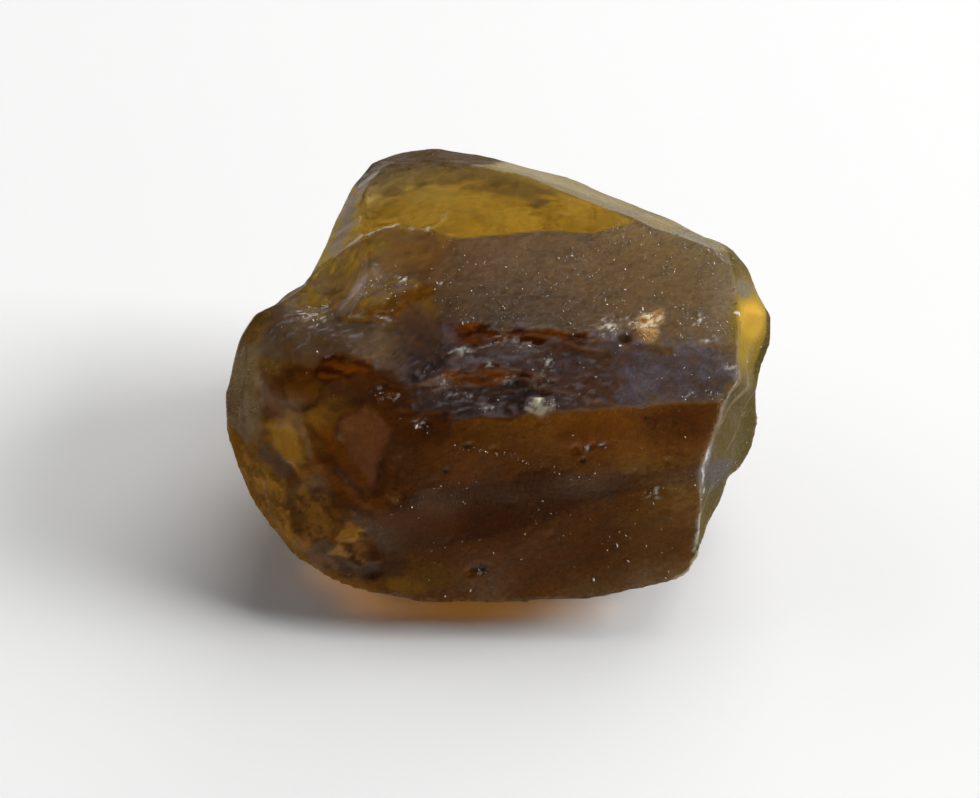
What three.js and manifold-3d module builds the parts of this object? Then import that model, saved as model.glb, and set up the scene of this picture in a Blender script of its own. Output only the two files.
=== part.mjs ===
// A rough garnet: one broken piece of a crystal, ten millimetres long.
//
// The stone is a closed cage of break faces. Each face is filled with small triangles and takes the
// relief of its break: a bow or a hollow, the ribs of a conchoidal fracture, a low swell. Pits and
// chips are then cut out of the skin, and two crumbs of another mineral stand in their pits.
// Millimetres, +Z up. The origin is the middle of the flat face that the stone rests on.

import * as THREE from "three";
import { mergeVertices } from "three/addons/utils/BufferGeometryUtils.js";
import Module from "manifold-3d";

const wasm = await Module();
wasm.setup();

// Driving dimensions, in millimetres.
const LENGTH = 10; // the stone's reach along X, from the left lobe to the right break
const GRAIN = 0.44; // no edge of the skin's triangles is longer
const FADE = 0.5; // a face's relief dies away over this distance to its outline
const STRAY = 0.035; // how far the edges stray from the straight cage
const STRAY_LENGTH = 0.5; // over what distance
const STRAY_INSIDE = 0.35; // and what share of that the middle of a face keeps

// How the skin's triangles are evened out and joined.
const TURN_PASSES = 12; // at most so many rounds of turning edges
const RELAX_PASSES = 3;
const WELD = 1e-4; // points closer than this are one, in millimetres
const TINY = 1e-6; // radians

// Corners of the cage, on a stone that is ten millimetres long.
const corners = {
  // The clear rear top.
  rear1: [-2.45, 1.15, 5.05],
  rear2: [-2.55, 2.45, 4.95],
  rear3: [-2.15, 3.25, 4.95],
  rear4: [-1.15, 3.45, 4.95],
  rear5: [0.2, 2.95, 5.1],
  rear6: [1.55, 2.1, 5.15],
  rear7: [2.4, 1.5, 5.2],
  rear8: [0.85, 1.05, 5.3],
  rear9: [-0.55, 0.85, 5.3],
  rear10: [-1.7, 1.15, 5.15],

  // The frosted table, round from its left end.
  table1: [-2.45, -0.35, 4.85],
  table2: [-1.35, -0.1, 5],
  table3: [-1, -0.9, 4.9],
  table4: [-0.45, -1.25, 4.95],
  table5: [0.65, -1.25, 4.95],
  table6: [1.6, -1.4, 4.9],
  table7: [2.75, -1.55, 4.85],
  table8: [4.2, -1.45, 4.8],
  table9: [4.25, -0.7, 4.9],
  table10: [4.25, 0, 5],
  table11: [4.15, 0.6, 5.1],
  table12: [3.15, 1.05, 5.2],
  table13: [-2.35, 0.45, 5],

  // The rim behind the top, from the left peak to the right.
  rim1: [-2.8, 3.15, 4.6],
  rim2: [-2.45, 3.75, 4.65],
  rim3: [-1.9, 4.05, 4.65],
  rim4: [-1.15, 4.2, 4.65],
  rim5: [-0.35, 4.05, 4.6],
  rim6: [0.75, 3.95, 4.3],
  rim7: [1.65, 3.75, 4.1],
  rim8: [2.8, 3.25, 3.9],
  rim9: [3.9, 2.35, 4],
  rim10: [4.3, 1.3, 4.6],

  // The notch between the peak and the left lobe.
  notch1: [-3, 2.55, 4.45],
  notch2: [-3.25, 1.6, 4.35],
  notch3: [-3.5, 0.9, 4.3],
  notch4: [-3.25, 1, 4.5],
  notch5: [-3.6, 0.6, 4.3],

  // The left lobe: its crest, its cheek, its brow and the lip below.
  crest1: [-3.9, -0.2, 4.4],
  crest2: [-3.3, -0.35, 4.4],
  crest3: [-2.85, -0.4, 4.45],
  crest4: [-1.95, -0.6, 4.55],
  cheek1: [-4.2, -0.45, 4.2],
  cheek2: [-4.45, -0.75, 3.85],
  cheek3: [-4.5, -1.1, 3.4],
  cheek4: [-4.3, -1.65, 3.1],
  brow1: [-3.55, -1.2, 4.15],
  brow2: [-2.65, -1.3, 4.35],
  lip1: [-3.5, -1.9, 3.45],
  lip2: [-3, -1.85, 3.75],
  lip3: [-2.4, -1.75, 3.95],
  lip4: [-1.75, -1.85, 4.1],

  // The skirt: the widest line of the stone, from the notch round the left and along the front.
  skirt1: [-4, 0.2, 4.3],
  skirt2: [-4.45, 0, 4.15],
  skirt3: [-4.75, -0.35, 3.85],
  skirt4: [-4.9, -0.8, 3.4],
  skirt5: [-5, -1.05, 3.15],
  skirt6: [-4.95, -1.5, 2.65],
  skirt7: [-4.65, -2.25, 2.05],
  skirt8: [-4.25, -2.8, 1.7],
  skirt9: [-3.75, -3.25, 1.25],
  skirt10: [-3.05, -3.6, 0.95],
  skirt11: [-2.3, -3.75, 0.8],
  skirt12: [-1.35, -3.9, 0.7],
  skirt13: [-0.2, -3.9, 0.65],
  skirt14: [1.5, -3.85, 0.75],
  skirt15: [2.75, -3.75, 0.95],
  skirt16: [3.35, -3.65, 1.15],
  skirt17: [3.55, -3.4, 1.4],

  // The stair below the table: two treads, a shelf, and a slot under it.
  tread1: [-0.95, -1.45, 4.65],
  tread2: [-1.05, -1.75, 4.4],
  tread3: [-0.35, -1.35, 4.65],
  tread4: [0.25, -1.3, 4.7],
  tread5: [0.7, -1.35, 4.65],
  tread6: [1.6, -1.5, 4.6],
  shelf1: [-0.65, -1.65, 4.5],
  shelf2: [0.3, -1.7, 4.5],
  shelf3: [0.8, -1.8, 4.45],
  shelf4: [1.75, -1.8, 4.4],
  slot1: [-0.8, -1.7, 4.15],
  slot2: [-0.25, -1.8, 4.1],
  slot3: [0.45, -1.7, 4.2],

  // The brink, where the stair and the hazy bevel drop to the long front face.
  brink1: [-0.9, -2.25, 3.75],
  brink2: [-0.1, -2.25, 3.8],
  brink3: [0.85, -2.25, 3.9],
  brink4: [1.95, -2.2, 3.95],
  brink5: [3.05, -2.1, 4.05],
  brink6: [3.9, -2.15, 4],
  brink7: [4.15, -1.95, 4.4],

  // The front face: its right edge, its left rib, and the low band across it.
  edge1: [3.65, -2.6, 3.2],
  edge2: [3.55, -2.75, 2.85],
  edge3: [3.6, -3, 2.35],
  edge4: [3.55, -3.25, 1.8],
  rib1: [-1.65, -2.45, 3.45],
  rib2: [-1.8, -2.8, 2.75],
  rib3: [-1.95, -3.1, 2.2],
  rib4: [-2.1, -3.4, 1.45],
  band1: [-0.35, -3.1, 2.2],
  band2: [1.4, -2.95, 2.45],

  // The lower left: a vein, loose flakes and the hem above the skirt.
  vein1: [-2.9, -1.95, 3.6],
  vein2: [-2.65, -2.55, 2.9],
  vein3: [-2.2, -3.1, 2.25],
  flake1: [-3.25, -2.5, 2.75],
  flake2: [-2.8, -3, 2.15],
  flake3: [-3.75, -2.55, 2.35],
  hem1: [-4.5, -2.15, 2.4],
  hem2: [-4.1, -2.75, 1.95],
  hem3: [-3.55, -3.2, 1.5],
  hem4: [-2.9, -3.5, 1.15],

  // The scalloped outline of the right break, from the top down.
  break1: [4.55, 0.8, 4.6],
  break2: [4.75, 0.5, 4.25],
  break3: [5, 0.3, 3.9],
  break4: [5, 0.05, 3.45],
  break5: [4.8, -0.15, 2.95],
  break6: [4.75, -0.3, 2.5],
  break7: [4.85, -0.6, 1.95],
  break8: [4.75, -0.85, 1.55],
  break9: [4.5, -1.1, 1.25],
  break10: [4.3, -1.2, 1.15],
  break11: [4.15, -1.65, 0.9],
  break12: [3.8, -2.25, 0.8],

  // The back, round from the left at half height.
  back1: [-4.75, 0.6, 2.6],
  back2: [-3.6, 1.9, 2.7],
  back3: [-2.9, 3.2, 3],
  back4: [-1.6, 4, 3.2],
  back5: [0.2, 4.2, 3.1],
  back6: [2.2, 3.4, 2.9],
  back7: [3.8, 2.2, 2.8],
  back8: [4.6, 1, 2.7],

  // The belly, round from the front left, and the flat face that the stone rests on.
  belly1: [-3.2, -2, 0.7],
  belly2: [-4.1, -0.5, 1.2],
  belly3: [-4.1, 0.9, 1.3],
  belly4: [-3.3, 2.3, 1.3],
  belly5: [-1.8, 3.2, 1.2],
  belly6: [0.3, 3.4, 1.1],
  belly7: [2.3, 2.8, 1],
  belly8: [3.6, 1.5, 0.95],
  belly9: [4, 0.2, 0.9],
  belly10: [3.3, -1.4, 0.45],
  rest1: [-2, -1.3, 0],
  rest2: [-0.5, -2.3, 0],
  rest3: [1.9, -1.9, 0],
  rest4: [2.2, -0.5, 0],
  rest5: [2.5, 0.9, 0],
  rest6: [0.7, 1.7, 0],
  rest7: [-1.1, 2.1, 0],
  rest8: [-1.9, 0.5, 0],
};

// Break faces: each one's corners in order, seen from outside.
const outlines = {
  // Top.
  rearTop: "rear1 rear10 rear9 rear8 rear7 rear6 rear5 rear4 rear3 rear2",
  tableLeft: "table1 table2 rear9 rear10 rear1 table13",
  table:
    "table2 table3 table4 table5 table6 table7 table8 table9 table10 table11 table12 rear7 rear8 rear9",
  rimLeft: "rear2 rear3 rim2 rim1",
  rimMiddle: "rear3 rear4 rim4 rim3 rim2",
  rimRight: "rear4 rear5 rim6 rim5 rim4",
  slope1: "rear5 rear6 rim7 rim6",
  slope2: "rear6 rear7 table12 rim8 rim7",
  slope3: "table12 table11 rim10 rim9 rim8",
  leftSlope: "rear1 rear2 rim1 notch1 notch2 notch3 notch4",
  leftBowl: "rear1 notch4 notch3 notch5 skirt1 crest1 crest2 crest3 table1 table13",

  // Left lobe.
  lobeRim1: "crest1 skirt1 skirt2 cheek1",
  lobeRim2: "cheek1 skirt2 skirt3 cheek2",
  lobeRim3: "cheek2 skirt3 skirt4 skirt5 cheek3",
  lobeRim4: "cheek3 skirt5 skirt6 cheek4",
  lobeTop: "crest4 crest3 crest2 crest1 cheek1 cheek2 brow1 brow2",
  lobeFront: "brow2 brow1 cheek2 cheek3 cheek4 lip1 lip2 lip3 lip4",
  lobeRiser: "table1 crest3 crest4 table2",
  saddle: "table2 crest4 brow2 lip4 tread2 tread1 table3",

  // Stair and bevel.
  riser: "table3 tread1 tread3 tread4 tread5 tread6 table6 table5 table4",
  tread: "tread1 tread2 shelf1 shelf2 shelf3 shelf4 tread6 tread5 tread4 tread3",
  slot: "shelf1 tread2 slot1 slot2 slot3 shelf3 shelf2",
  ledgeLeft: "slot1 tread2 lip4 brink1 brink2 brink3 slot3 slot2",
  ledgeRight: "slot3 brink3 brink4 shelf4 shelf3",
  bevel: "table6 tread6 shelf4 brink4 brink5 brink6 brink7 table8 table7",

  // Front.
  frontUpper:
    "brink1 rib1 rib2 rib3 band1 band2 edge2 edge1 brink6 brink5 brink4 brink3 brink2",
  frontLower:
    "rib3 rib4 skirt11 skirt12 skirt13 skirt14 skirt15 skirt16 skirt17 edge4 edge3 edge2 band2 band1",
  rubble: "lip4 lip3 rib1 brink1",
  facet: "lip3 vein1 vein2 vein3 rib3 rib2 rib1",
  veinTop: "lip3 lip2 vein1",
  veinSide: "lip2 lip1 flake1 flake2 vein3 vein2 vein1",
  flakeTop: "lip1 cheek4 hem1 flake3 flake1",
  flakeLow: "flake1 flake3 hem1 hem2 hem3 flake2",
  lowLeft: "flake2 hem3 hem4 skirt11 rib4 rib3 vein3",
  hemSide1: "cheek4 skirt6 skirt7 hem1",
  hemSide2: "hem1 skirt7 skirt8 hem2",
  hemSide3: "hem2 skirt8 skirt9 hem3",
  hemSide4: "hem3 skirt9 skirt10 hem4",
  hemSide5: "hem4 skirt10 skirt11",

  // Right break.
  breakTop: "table11 table10 break1 rim10",
  breakUpper: "table10 table9 break3 break2 break1",
  breakMiddle: "table9 table8 brink7 break6 break5 break4 break3",
  breakLower: "brink7 brink6 edge1 edge2 break9 break8 break7 break6",
  breakFoot: "edge2 edge3 edge4 skirt17 break12 break11 break10 break9",

  // Back.
  lobeBack: "skirt3 skirt2 skirt1 notch5 notch3 back2 back1",
  notchBack: "notch3 notch2 back2",
  peakBack: "notch2 notch1 rim1 back3 back2",
  back1: "back3 rim1 rim2 rim3 back4",
  back2: "back4 rim3 rim4 rim5 back5",
  back3: "back5 rim5 rim6 rim7 back6",
  back4: "back6 rim7 rim8 back7",
  back5: "back7 rim8 rim9 rim10 back8",
  back6: "back8 rim10 break1 break2 break3",
  back7: "back8 break3 break4 break5 belly9",
  back8: "belly9 break5 break6 break7 break8",
  back9: "belly9 break8 break9 break10 belly10",

  // Belly and the face at rest.
  low1: "back1 back2 belly4 belly3",
  low2: "back2 back3 belly4",
  low3: "back3 back4 belly5 belly4",
  low4: "back4 back5 belly6 belly5",
  low5: "back5 back6 belly7 belly6",
  low6: "back6 back7 belly8 belly7",
  low7: "back7 back8 belly9 belly8",
  low8: "back1 belly3 belly2",
  lobeUnder1: "skirt5 skirt4 skirt3 back1 belly2",
  lobeUnder2: "skirt6 skirt5 belly2",
  lobeUnder3: "skirt8 skirt7 skirt6 belly2 belly1",
  lobeUnder4: "skirt10 skirt9 skirt8 belly1",
  lobeUnder5: "skirt11 skirt10 belly1",
  under1: "skirt12 skirt11 belly1 rest1 rest2",
  under2: "skirt14 skirt13 skirt12 rest2 rest3",
  under3: "belly10 skirt15 skirt14 rest3 rest4",
  under4: "belly10 break10 break11 break12 skirt17 skirt16 skirt15",
  foot1: "belly1 belly2 rest8 rest1",
  foot2: "belly2 belly3 rest8",
  foot3: "belly3 belly4 rest7 rest8",
  foot4: "belly4 belly5 rest7",
  foot5: "belly5 belly6 rest6 rest7",
  foot6: "belly6 belly7 rest5 rest6",
  foot7: "belly7 belly8 rest5",
  foot8: "belly8 belly9 rest4 rest5",
  foot9: "belly9 belly10 rest4",
  rest: "rest1 rest8 rest7 rest6 rest5 rest4 rest3 rest2",
};

// Reliefs of the breaks, where a face isn't plain. bow is how far its middle stands out, or sinks
// in if negative. ribs spread from the corner where the blow fell.
const reliefs = {
  rearTop: { bow: 0.04 },
  table: { bow: 0.03 },
  tableLeft: { bow: -0.08, ribs: ["rear10", 0.9, 0.03] },
  leftSlope: { ribs: ["rim1", 0.7, 0.03] },
  leftBowl: { bow: -0.16, ribs: ["rear1", 0.6, 0.05] },
  lobeTop: { bow: 0.14, ribs: ["crest4", 0.9, 0.03] },
  lobeFront: { bow: 0.14 },
  saddle: { bow: -0.06 },
  tread: { ribs: ["tread6", 0.55, 0.03] },
  ledgeLeft: { ribs: ["brink1", 0.6, 0.04] },
  frontUpper: { bow: 0.04, ribs: ["rib1", 2.6, 0.03] },
  frontLower: { bow: 0.02, ribs: ["band1", 2.2, 0.015] },
  flakeTop: { bow: -0.08, ribs: ["cheek4", 0.6, 0.04] },
  flakeLow: { bow: -0.06, ribs: ["flake1", 0.7, 0.04] },
  lowLeft: { bow: 0.05, ribs: ["vein3", 0.8, 0.05] },
  veinSide: { bow: -0.05, ribs: ["lip1", 0.8, 0.03] },
  breakMiddle: { bow: -0.12, ribs: ["table9", 1.0, 0.05] },
  breakLower: { bow: -0.12, ribs: ["brink7", 0.9, 0.05] },
  breakFoot: { bow: -0.1, ribs: ["edge2", 0.9, 0.05] },
  lobeBack: { bow: 0.12, ribs: ["notch5", 1.1, 0.04] },
  peakBack: { bow: -0.1, ribs: ["rim1", 0.9, 0.04] },
  back1: { bow: -0.12, ribs: ["rim2", 0.9, 0.05] },
  back2: { bow: 0.08 },
  back3: { bow: -0.16, ribs: ["rim6", 1.0, 0.05] },
  back4: { bow: -0.08, ribs: ["rim7", 1.0, 0.05] },
  back5: { bow: -0.16, ribs: ["rim10", 1.1, 0.06] },
  low1: { bow: 0.1 },
  low3: { bow: -0.15, ribs: ["back3", 1.0, 0.05] },
  low4: { bow: 0.12 },
  low5: { bow: -0.18, ribs: ["back6", 1.1, 0.06] },
  low6: { bow: 0.1 },
  low7: { bow: -0.12, ribs: ["back8", 0.9, 0.05] },
  lobeUnder1: { bow: 0.08 },
  lobeUnder3: { bow: 0.12 },
  under1: { bow: 0.08 },
  under2: { bow: -0.1, ribs: ["skirt13", 1.2, 0.05] },
  under3: { bow: 0.1 },
  under4: { bow: -0.1, ribs: ["belly10", 0.9, 0.05] },
  foot3: { bow: -0.12, ribs: ["belly4", 1.0, 0.05] },
  foot5: { bow: 0.08 },
  foot6: { bow: -0.1, ribs: ["belly7", 1.0, 0.05] },
  foot8: { bow: 0.06 },
};

const corner = (name) => new THREE.Vector3(...corners[name]).multiplyScalar(LENGTH / 10);

// Each face with its corners, its middle and its outward normal.
function faceOf(outline) {
  const names = outline.split(" ");
  const points = names.map(corner);
  const middle = new THREE.Vector3();
  points.forEach((p) => middle.addScaledVector(p, 1 / points.length));
  const normal = new THREE.Vector3();
  points.forEach((p, i) => {
    const next = points[(i + 1) % points.length];
    normal.add(p.clone().sub(middle).cross(next.clone().sub(middle)));
  });
  return { names, points, middle, normal: normal.normalize() };
}

const faces = Object.fromEntries(
  Object.entries(outlines).map(([name, outline]) => [name, faceOf(outline)]),
);

// The cage as a mesh: shared points, and triangles that know their face.
function cage() {
  const number = Object.fromEntries(Object.keys(corners).map((name, i) => [name, i]));
  const points = Object.keys(corners).map(corner);
  const triangles = [];
  for (const [name, face] of Object.entries(faces)) {
    const along = face.points[1].clone().sub(face.points[0]).normalize();
    const across = face.normal.clone().cross(along);
    const flat = face.points.map((p) => new THREE.Vector2(p.dot(along), p.dot(across)));
    for (const [a, b, c] of THREE.ShapeUtils.triangulateShape(flat, [])) {
      const turn = flat[b].clone().sub(flat[a]).cross(flat[c].clone().sub(flat[a]));
      const order = turn > 0 ? [a, b, c] : [a, c, b];
      triangles.push({ face: name, at: order.map((i) => number[face.names[i]]) });
    }
  }
  return { points, triangles };
}

const edgeKey = (a, b) => (a < b ? `${a} ${b}` : `${b} ${a}`);

// One pass that halves every edge longer than GRAIN. Returns whether it found any.
function halve(mesh) {
  const middles = new Map();
  const middleOf = (a, b) => {
    if (mesh.points[a].distanceTo(mesh.points[b]) <= GRAIN) return null;
    const key = edgeKey(a, b);
    if (!middles.has(key)) {
      middles.set(key, mesh.points.length);
      mesh.points.push(mesh.points[a].clone().lerp(mesh.points[b], 0.5));
    }
    return middles.get(key);
  };
  const halved = [];
  for (const { face, at } of mesh.triangles) {
    const mids = [0, 1, 2].map((i) => middleOf(at[i], at[(i + 1) % 3]));
    halved.push(...pieces(mesh.points, at, mids).map((part) => ({ face, at: part })));
  }
  mesh.triangles = halved;
  return middles.size > 0;
}

// The one to four triangles that a triangle falls into, given the middles of its halved edges.
function pieces(points, at, mids) {
  const count = mids.filter((m) => m !== null).length;
  if (count === 0) return [at];
  const first = count === 2 ? (mids.indexOf(null) + 1) % 3 : mids.findIndex((m) => m !== null);
  const [a, b, c] = [0, 1, 2].map((i) => at[(first + i) % 3]);
  const [ab, bc, ca] = [0, 1, 2].map((i) => mids[(first + i) % 3]);
  if (count === 1)
    return [
      [a, ab, c],
      [ab, b, c],
    ];
  if (count === 3)
    return [
      [a, ab, ca],
      [ab, b, bc],
      [ca, bc, c],
      [ab, bc, ca],
    ];
  const shortWay = points[a].distanceTo(points[bc]) < points[ab].distanceTo(points[c]);
  const rest = shortWay
    ? [
        [a, ab, bc],
        [a, bc, c],
      ]
    : [
        [a, ab, c],
        [ab, bc, c],
      ];
  return [[ab, b, bc], ...rest];
}

// The angle at q between p and r.
const angleAt = (p, q, r) => p.clone().sub(q).angleTo(r.clone().sub(q));

// Whether the edge from a to b is better turned, to go from c to d: its two triangles are thin, and
// together they make a shape without a dent.
function betterTurned(a, b, c, d) {
  const thin = angleAt(a, c, b) + angleAt(a, d, b) > Math.PI + TINY;
  const dented =
    angleAt(c, a, b) + angleAt(b, a, d) >= Math.PI || angleAt(c, b, a) + angleAt(a, b, d) >= Math.PI;
  return thin && !dented;
}

// Turns the edges inside a face that leave thin triangles, until none is left or passes run out.
function turnEdges(mesh) {
  for (let pass = 0; pass < TURN_PASSES; pass++) {
    const sides = new Map();
    mesh.triangles.forEach((triangle, t) => {
      triangle.at.forEach((a, i) => {
        const key = edgeKey(a, triangle.at[(i + 1) % 3]);
        if (!sides.has(key)) sides.set(key, []);
        sides.get(key).push([t, i]);
      });
    });
    const touched = new Set();
    let turned = 0;
    for (const [[t, i], [u, j]] of sides.values()) {
      const one = mesh.triangles[t];
      const two = mesh.triangles[u];
      if (one.face !== two.face || touched.has(t) || touched.has(u)) continue;
      const [a, b, c] = [0, 1, 2].map((k) => one.at[(i + k) % 3]);
      const d = two.at[(j + 2) % 3];
      if (!betterTurned(...[a, b, c, d].map((k) => mesh.points[k]))) continue;
      one.at = [c, a, d];
      two.at = [d, b, c];
      touched.add(t).add(u);
      turned++;
    }
    if (!turned) return;
  }
}

// The faces that meet at each point.
function facesAt(mesh) {
  const meet = mesh.points.map(() => new Set());
  for (const { face, at } of mesh.triangles) at.forEach((i) => meet[i].add(face));
  return meet;
}

// Moves each point inside a face to the middle of its neighbours.
function relax(mesh) {
  const meet = facesAt(mesh);
  const sums = mesh.points.map(() => ({ sum: new THREE.Vector3(), count: 0 }));
  for (const { at } of mesh.triangles)
    at.forEach((a, i) => {
      sums[a].sum.add(mesh.points[at[(i + 1) % 3]]);
      sums[a].count++;
    });
  mesh.points = mesh.points.map((p, i) =>
    meet[i].size > 1 || i < Object.keys(corners).length
      ? p
      : sums[i].sum.divideScalar(sums[i].count),
  );
}

const smooth = (t) => t * t * (3 - 2 * t);

// How far a point inside a face lies from the face's outline.
function insideBy(face, p) {
  const nearest = new THREE.Vector3();
  const line = new THREE.Line3();
  return Math.min(
    ...face.points.map((a, i) => {
      line.set(a, face.points[(i + 1) % face.points.length]);
      return line.closestPointToPoint(p, true, nearest).distanceTo(p);
    }),
  );
}

// 0 on a face's outline, 1 once a point is well inside it.
const fadeAt = (face, p) => smooth(Math.min(1, insideBy(face, p) / FADE));

// The height of a face's relief at a point inside it.
function reliefAt(name, p) {
  const { bow = 0, ribs } = reliefs[name] ?? {};
  if (!ribs) return bow;
  const [struck, spacing, rise] = ribs;
  return bow + rise * Math.sin((2 * Math.PI * p.distanceTo(corner(struck))) / spacing);
}

// A slow stray of the whole skin, so that no edge is quite straight and no face quite flat.
function stray(p) {
  const { x, y, z } = p.clone().divideScalar(STRAY_LENGTH);
  return new THREE.Vector3(
    Math.sin(1.1 * y + 0.7 * z + 1) * Math.cos(0.9 * x) + Math.sin(2.3 * z - 1.9 * y),
    Math.sin(1.3 * z - 0.9 * x + 2) * Math.cos(1.2 * y) + Math.sin(2.1 * x + 1.7 * z),
    Math.sin(0.8 * x + 1.2 * y + 3) * Math.cos(0.7 * z) + Math.sin(1.8 * y - 2.2 * x),
  ).multiplyScalar(STRAY / 2);
}

// The stone's skin: the cage, filled with small triangles that take the relief of each face.
// The face at rest stays flat, so what is lowest keeps its place.
function skin() {
  const mesh = cage();
  turnEdges(mesh);
  while (halve(mesh)) turnEdges(mesh);
  for (let i = 0; i < RELAX_PASSES; i++) {
    relax(mesh);
    turnEdges(mesh);
  }
  const meet = facesAt(mesh);
  mesh.points = mesh.points.map((p, i) => {
    if (meet[i].has("rest")) return p;
    if (meet[i].size > 1) return p.clone().add(stray(p));
    const [name] = meet[i];
    const fade = fadeAt(faces[name], p);
    return p
      .clone()
      .addScaledVector(stray(p), 1 - (1 - STRAY_INSIDE) * fade)
      .addScaledVector(faces[name].normal, fade * reliefAt(name, p));
  });
  const geometry = new THREE.BufferGeometry();
  geometry.setAttribute(
    "position",
    new THREE.Float32BufferAttribute(mesh.points.flatMap((p) => p.toArray()), 3),
  );
  geometry.setIndex(mesh.triangles.flatMap(({ at }) => at));
  return geometry;
}

// A closed geometry as a manifold-3d solid.
function solid(geometry) {
  const bare = geometry.clone();
  bare.deleteAttribute("normal");
  bare.deleteAttribute("uv");
  const merged = mergeVertices(bare, WELD);
  return new wasm.Manifold(
    new wasm.Mesh({
      numProp: 3,
      vertProperties: new Float32Array(merged.attributes.position.array),
      triVerts: new Uint32Array(merged.index.array),
    }),
  );
}

// A manifold-3d solid as a geometry with flat faces.
function geometryOf(made) {
  const mesh = made.getMesh();
  const geometry = new THREE.BufferGeometry();
  geometry.setAttribute(
    "position",
    new THREE.BufferAttribute(new Float32Array(mesh.vertProperties), 3),
  );
  geometry.setIndex(new THREE.BufferAttribute(new Uint32Array(mesh.triVerts), 1));
  const flat = geometry.toNonIndexed();
  flat.computeVertexNormals();
  return flat;
}

// The way out of the stone at a corner: between the normals of the faces that meet there.
function outAt(name) {
  const out = new THREE.Vector3();
  for (const face of Object.values(faces)) if (face.names.includes(name)) out.add(face.normal);
  return out.normalize();
}

// A point of the skin inside a face, given its place along X and along Y or Z. The one left null is
// worked out on the face's mean plane, and the skin is then met along the face's normal.
function pointOn(surface, face, x, y, z) {
  const { normal, middle } = faces[face];
  const p = new THREE.Vector3(x, y ?? middle.y, z ?? middle.z);
  const off = p.sub(middle).dot(normal);
  if (y === null) p.y -= off / normal.y;
  if (z === null) p.z -= off / normal.z;
  p.add(middle).add(normal);
  const ray = new THREE.Raycaster(p, normal.clone().negate());
  return ray.intersectObject(surface)[0].point;
}

// An uneven ball, placed: round enough to scoop a chip, coarse for a pit, or a bare crystal. Each
// turn gives another side of it.
const ROUND = 3;
const COARSE = 1;
const BARE = 0;
const UNEVEN = [1, 0.78, 1.1]; // how far the ball is stretched along each axis
function lump(radius, at, turn, detail) {
  const geometry = new THREE.IcosahedronGeometry(radius, detail)
    .scale(...UNEVEN)
    .rotateX(turn)
    .rotateZ(2 * turn)
    .translate(at.x, at.y, at.z);
  return solid(geometry);
}

// Chips broken from the sharp corners: the corner, the radius of the break, how deep it bites.
const chips = [
  ["table11", 0.9, 0.1],
  ["crest2", 1.1, 0.07],
  ["rim6", 1.6, 0.14],
  ["rim9", 1.2, 0.16],
  ["back3", 1.5, 0.14],
  ["back6", 1.7, 0.2],
  ["belly5", 1.5, 0.14],
  ["belly8", 1.3, 0.14],
  ["skirt7", 1.2, 0.06],
];

// Pits in the skin: the face, the place on it, and the radius.
const pits = [
  ["frontUpper", -0.55, null, 3.35, 0.11],
  ["frontUpper", -0.1, null, 3.28, 0.09],
  ["frontUpper", 0.3, null, 3.12, 0.08],
  ["frontUpper", 0.75, null, 3.0, 0.1],
  ["frontUpper", 1.35, null, 3.3, 0.12],
  ["frontUpper", 1.65, null, 3.36, 0.09],
  ["frontUpper", -1.1, null, 2.75, 0.09],
  ["frontUpper", 2.4, null, 2.9, 0.08],
  ["frontUpper", 2.95, null, 3.05, 0.09],
  ["frontLower", -0.9, null, 1.7, 0.09],
  ["frontLower", -0.5, null, 1.25, 0.13],
  ["frontLower", 0.9, null, 1.8, 0.08],
  ["frontLower", 2.1, null, 1.4, 0.09],
  ["table", -0.5, 0.1, null, 0.09],
  ["table", 0.9, -0.6, null, 0.08],
  ["table", 1.3, 0.4, null, 0.07],
  ["table", 2.2, -0.2, null, 0.09],
  ["table", 3.2, 0.2, null, 0.08],
  ["table", 3.4, -0.9, null, 0.1],
  ["rearTop", -1.6, 1.9, null, 0.08],
  ["rearTop", -0.1, 1.9, null, 0.07],
  ["bevel", 2.3, null, 4.5, 0.1],
  ["bevel", 3.6, null, 4.45, 0.09],
  ["lobeFront", -3.0, null, 4.05, 0.1],
  ["lowLeft", -2.5, null, 1.8, 0.11],
];
const PIT_CENTRE = 0.5; // a pit's ball stands out of the skin by this share of its radius
const NEST_CENTRE = 0.75; // and a nest's shallow one by this share

// Crumbs of another mineral grown into the skin: the face and place of each nest, the radius of
// its pit, and its crumbs' size and number.
const nests = [
  { face: "table", at: [2.45, -1.1, null], pit: 0.3, crumb: 0.13, count: 8, seed: 3 },
  { face: "ledgeLeft", at: [0.6, null, 4.0], pit: 0.2, crumb: 0.14, count: 3, seed: 8 },
];
const GOLDEN_ANGLE = 2.4; // radians from one crumb to the next
const SPREAD = 0.8; // the crumbs fill this share of their pit's radius
const SUNK = 0.3; // and stand this share of their own size below its rim
const UNLIKE = 0.25; // how far their sizes differ

// The crumbs of a nest, packed in a spiral from its middle, each an uneven small crystal.
function crumbs({ face, pit, crumb, count, seed }, middle) {
  const upright = new THREE.Vector3(0, 0, 1);
  const turn = new THREE.Quaternion().setFromUnitVectors(upright, faces[face].normal);
  const made = [];
  for (let i = 0; i < count; i++) {
    const out = SPREAD * pit * Math.sqrt(i / count);
    const angle = GOLDEN_ANGLE * i;
    const size = crumb * (1 - UNLIKE + UNLIKE * Math.sin(seed + 2 * i));
    const place = new THREE.Vector3(out * Math.cos(angle), out * Math.sin(angle), -SUNK * crumb)
      .applyQuaternion(turn)
      .add(middle);
    made.push(lump(size, place, seed + i, BARE));
  }
  return made;
}

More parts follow.
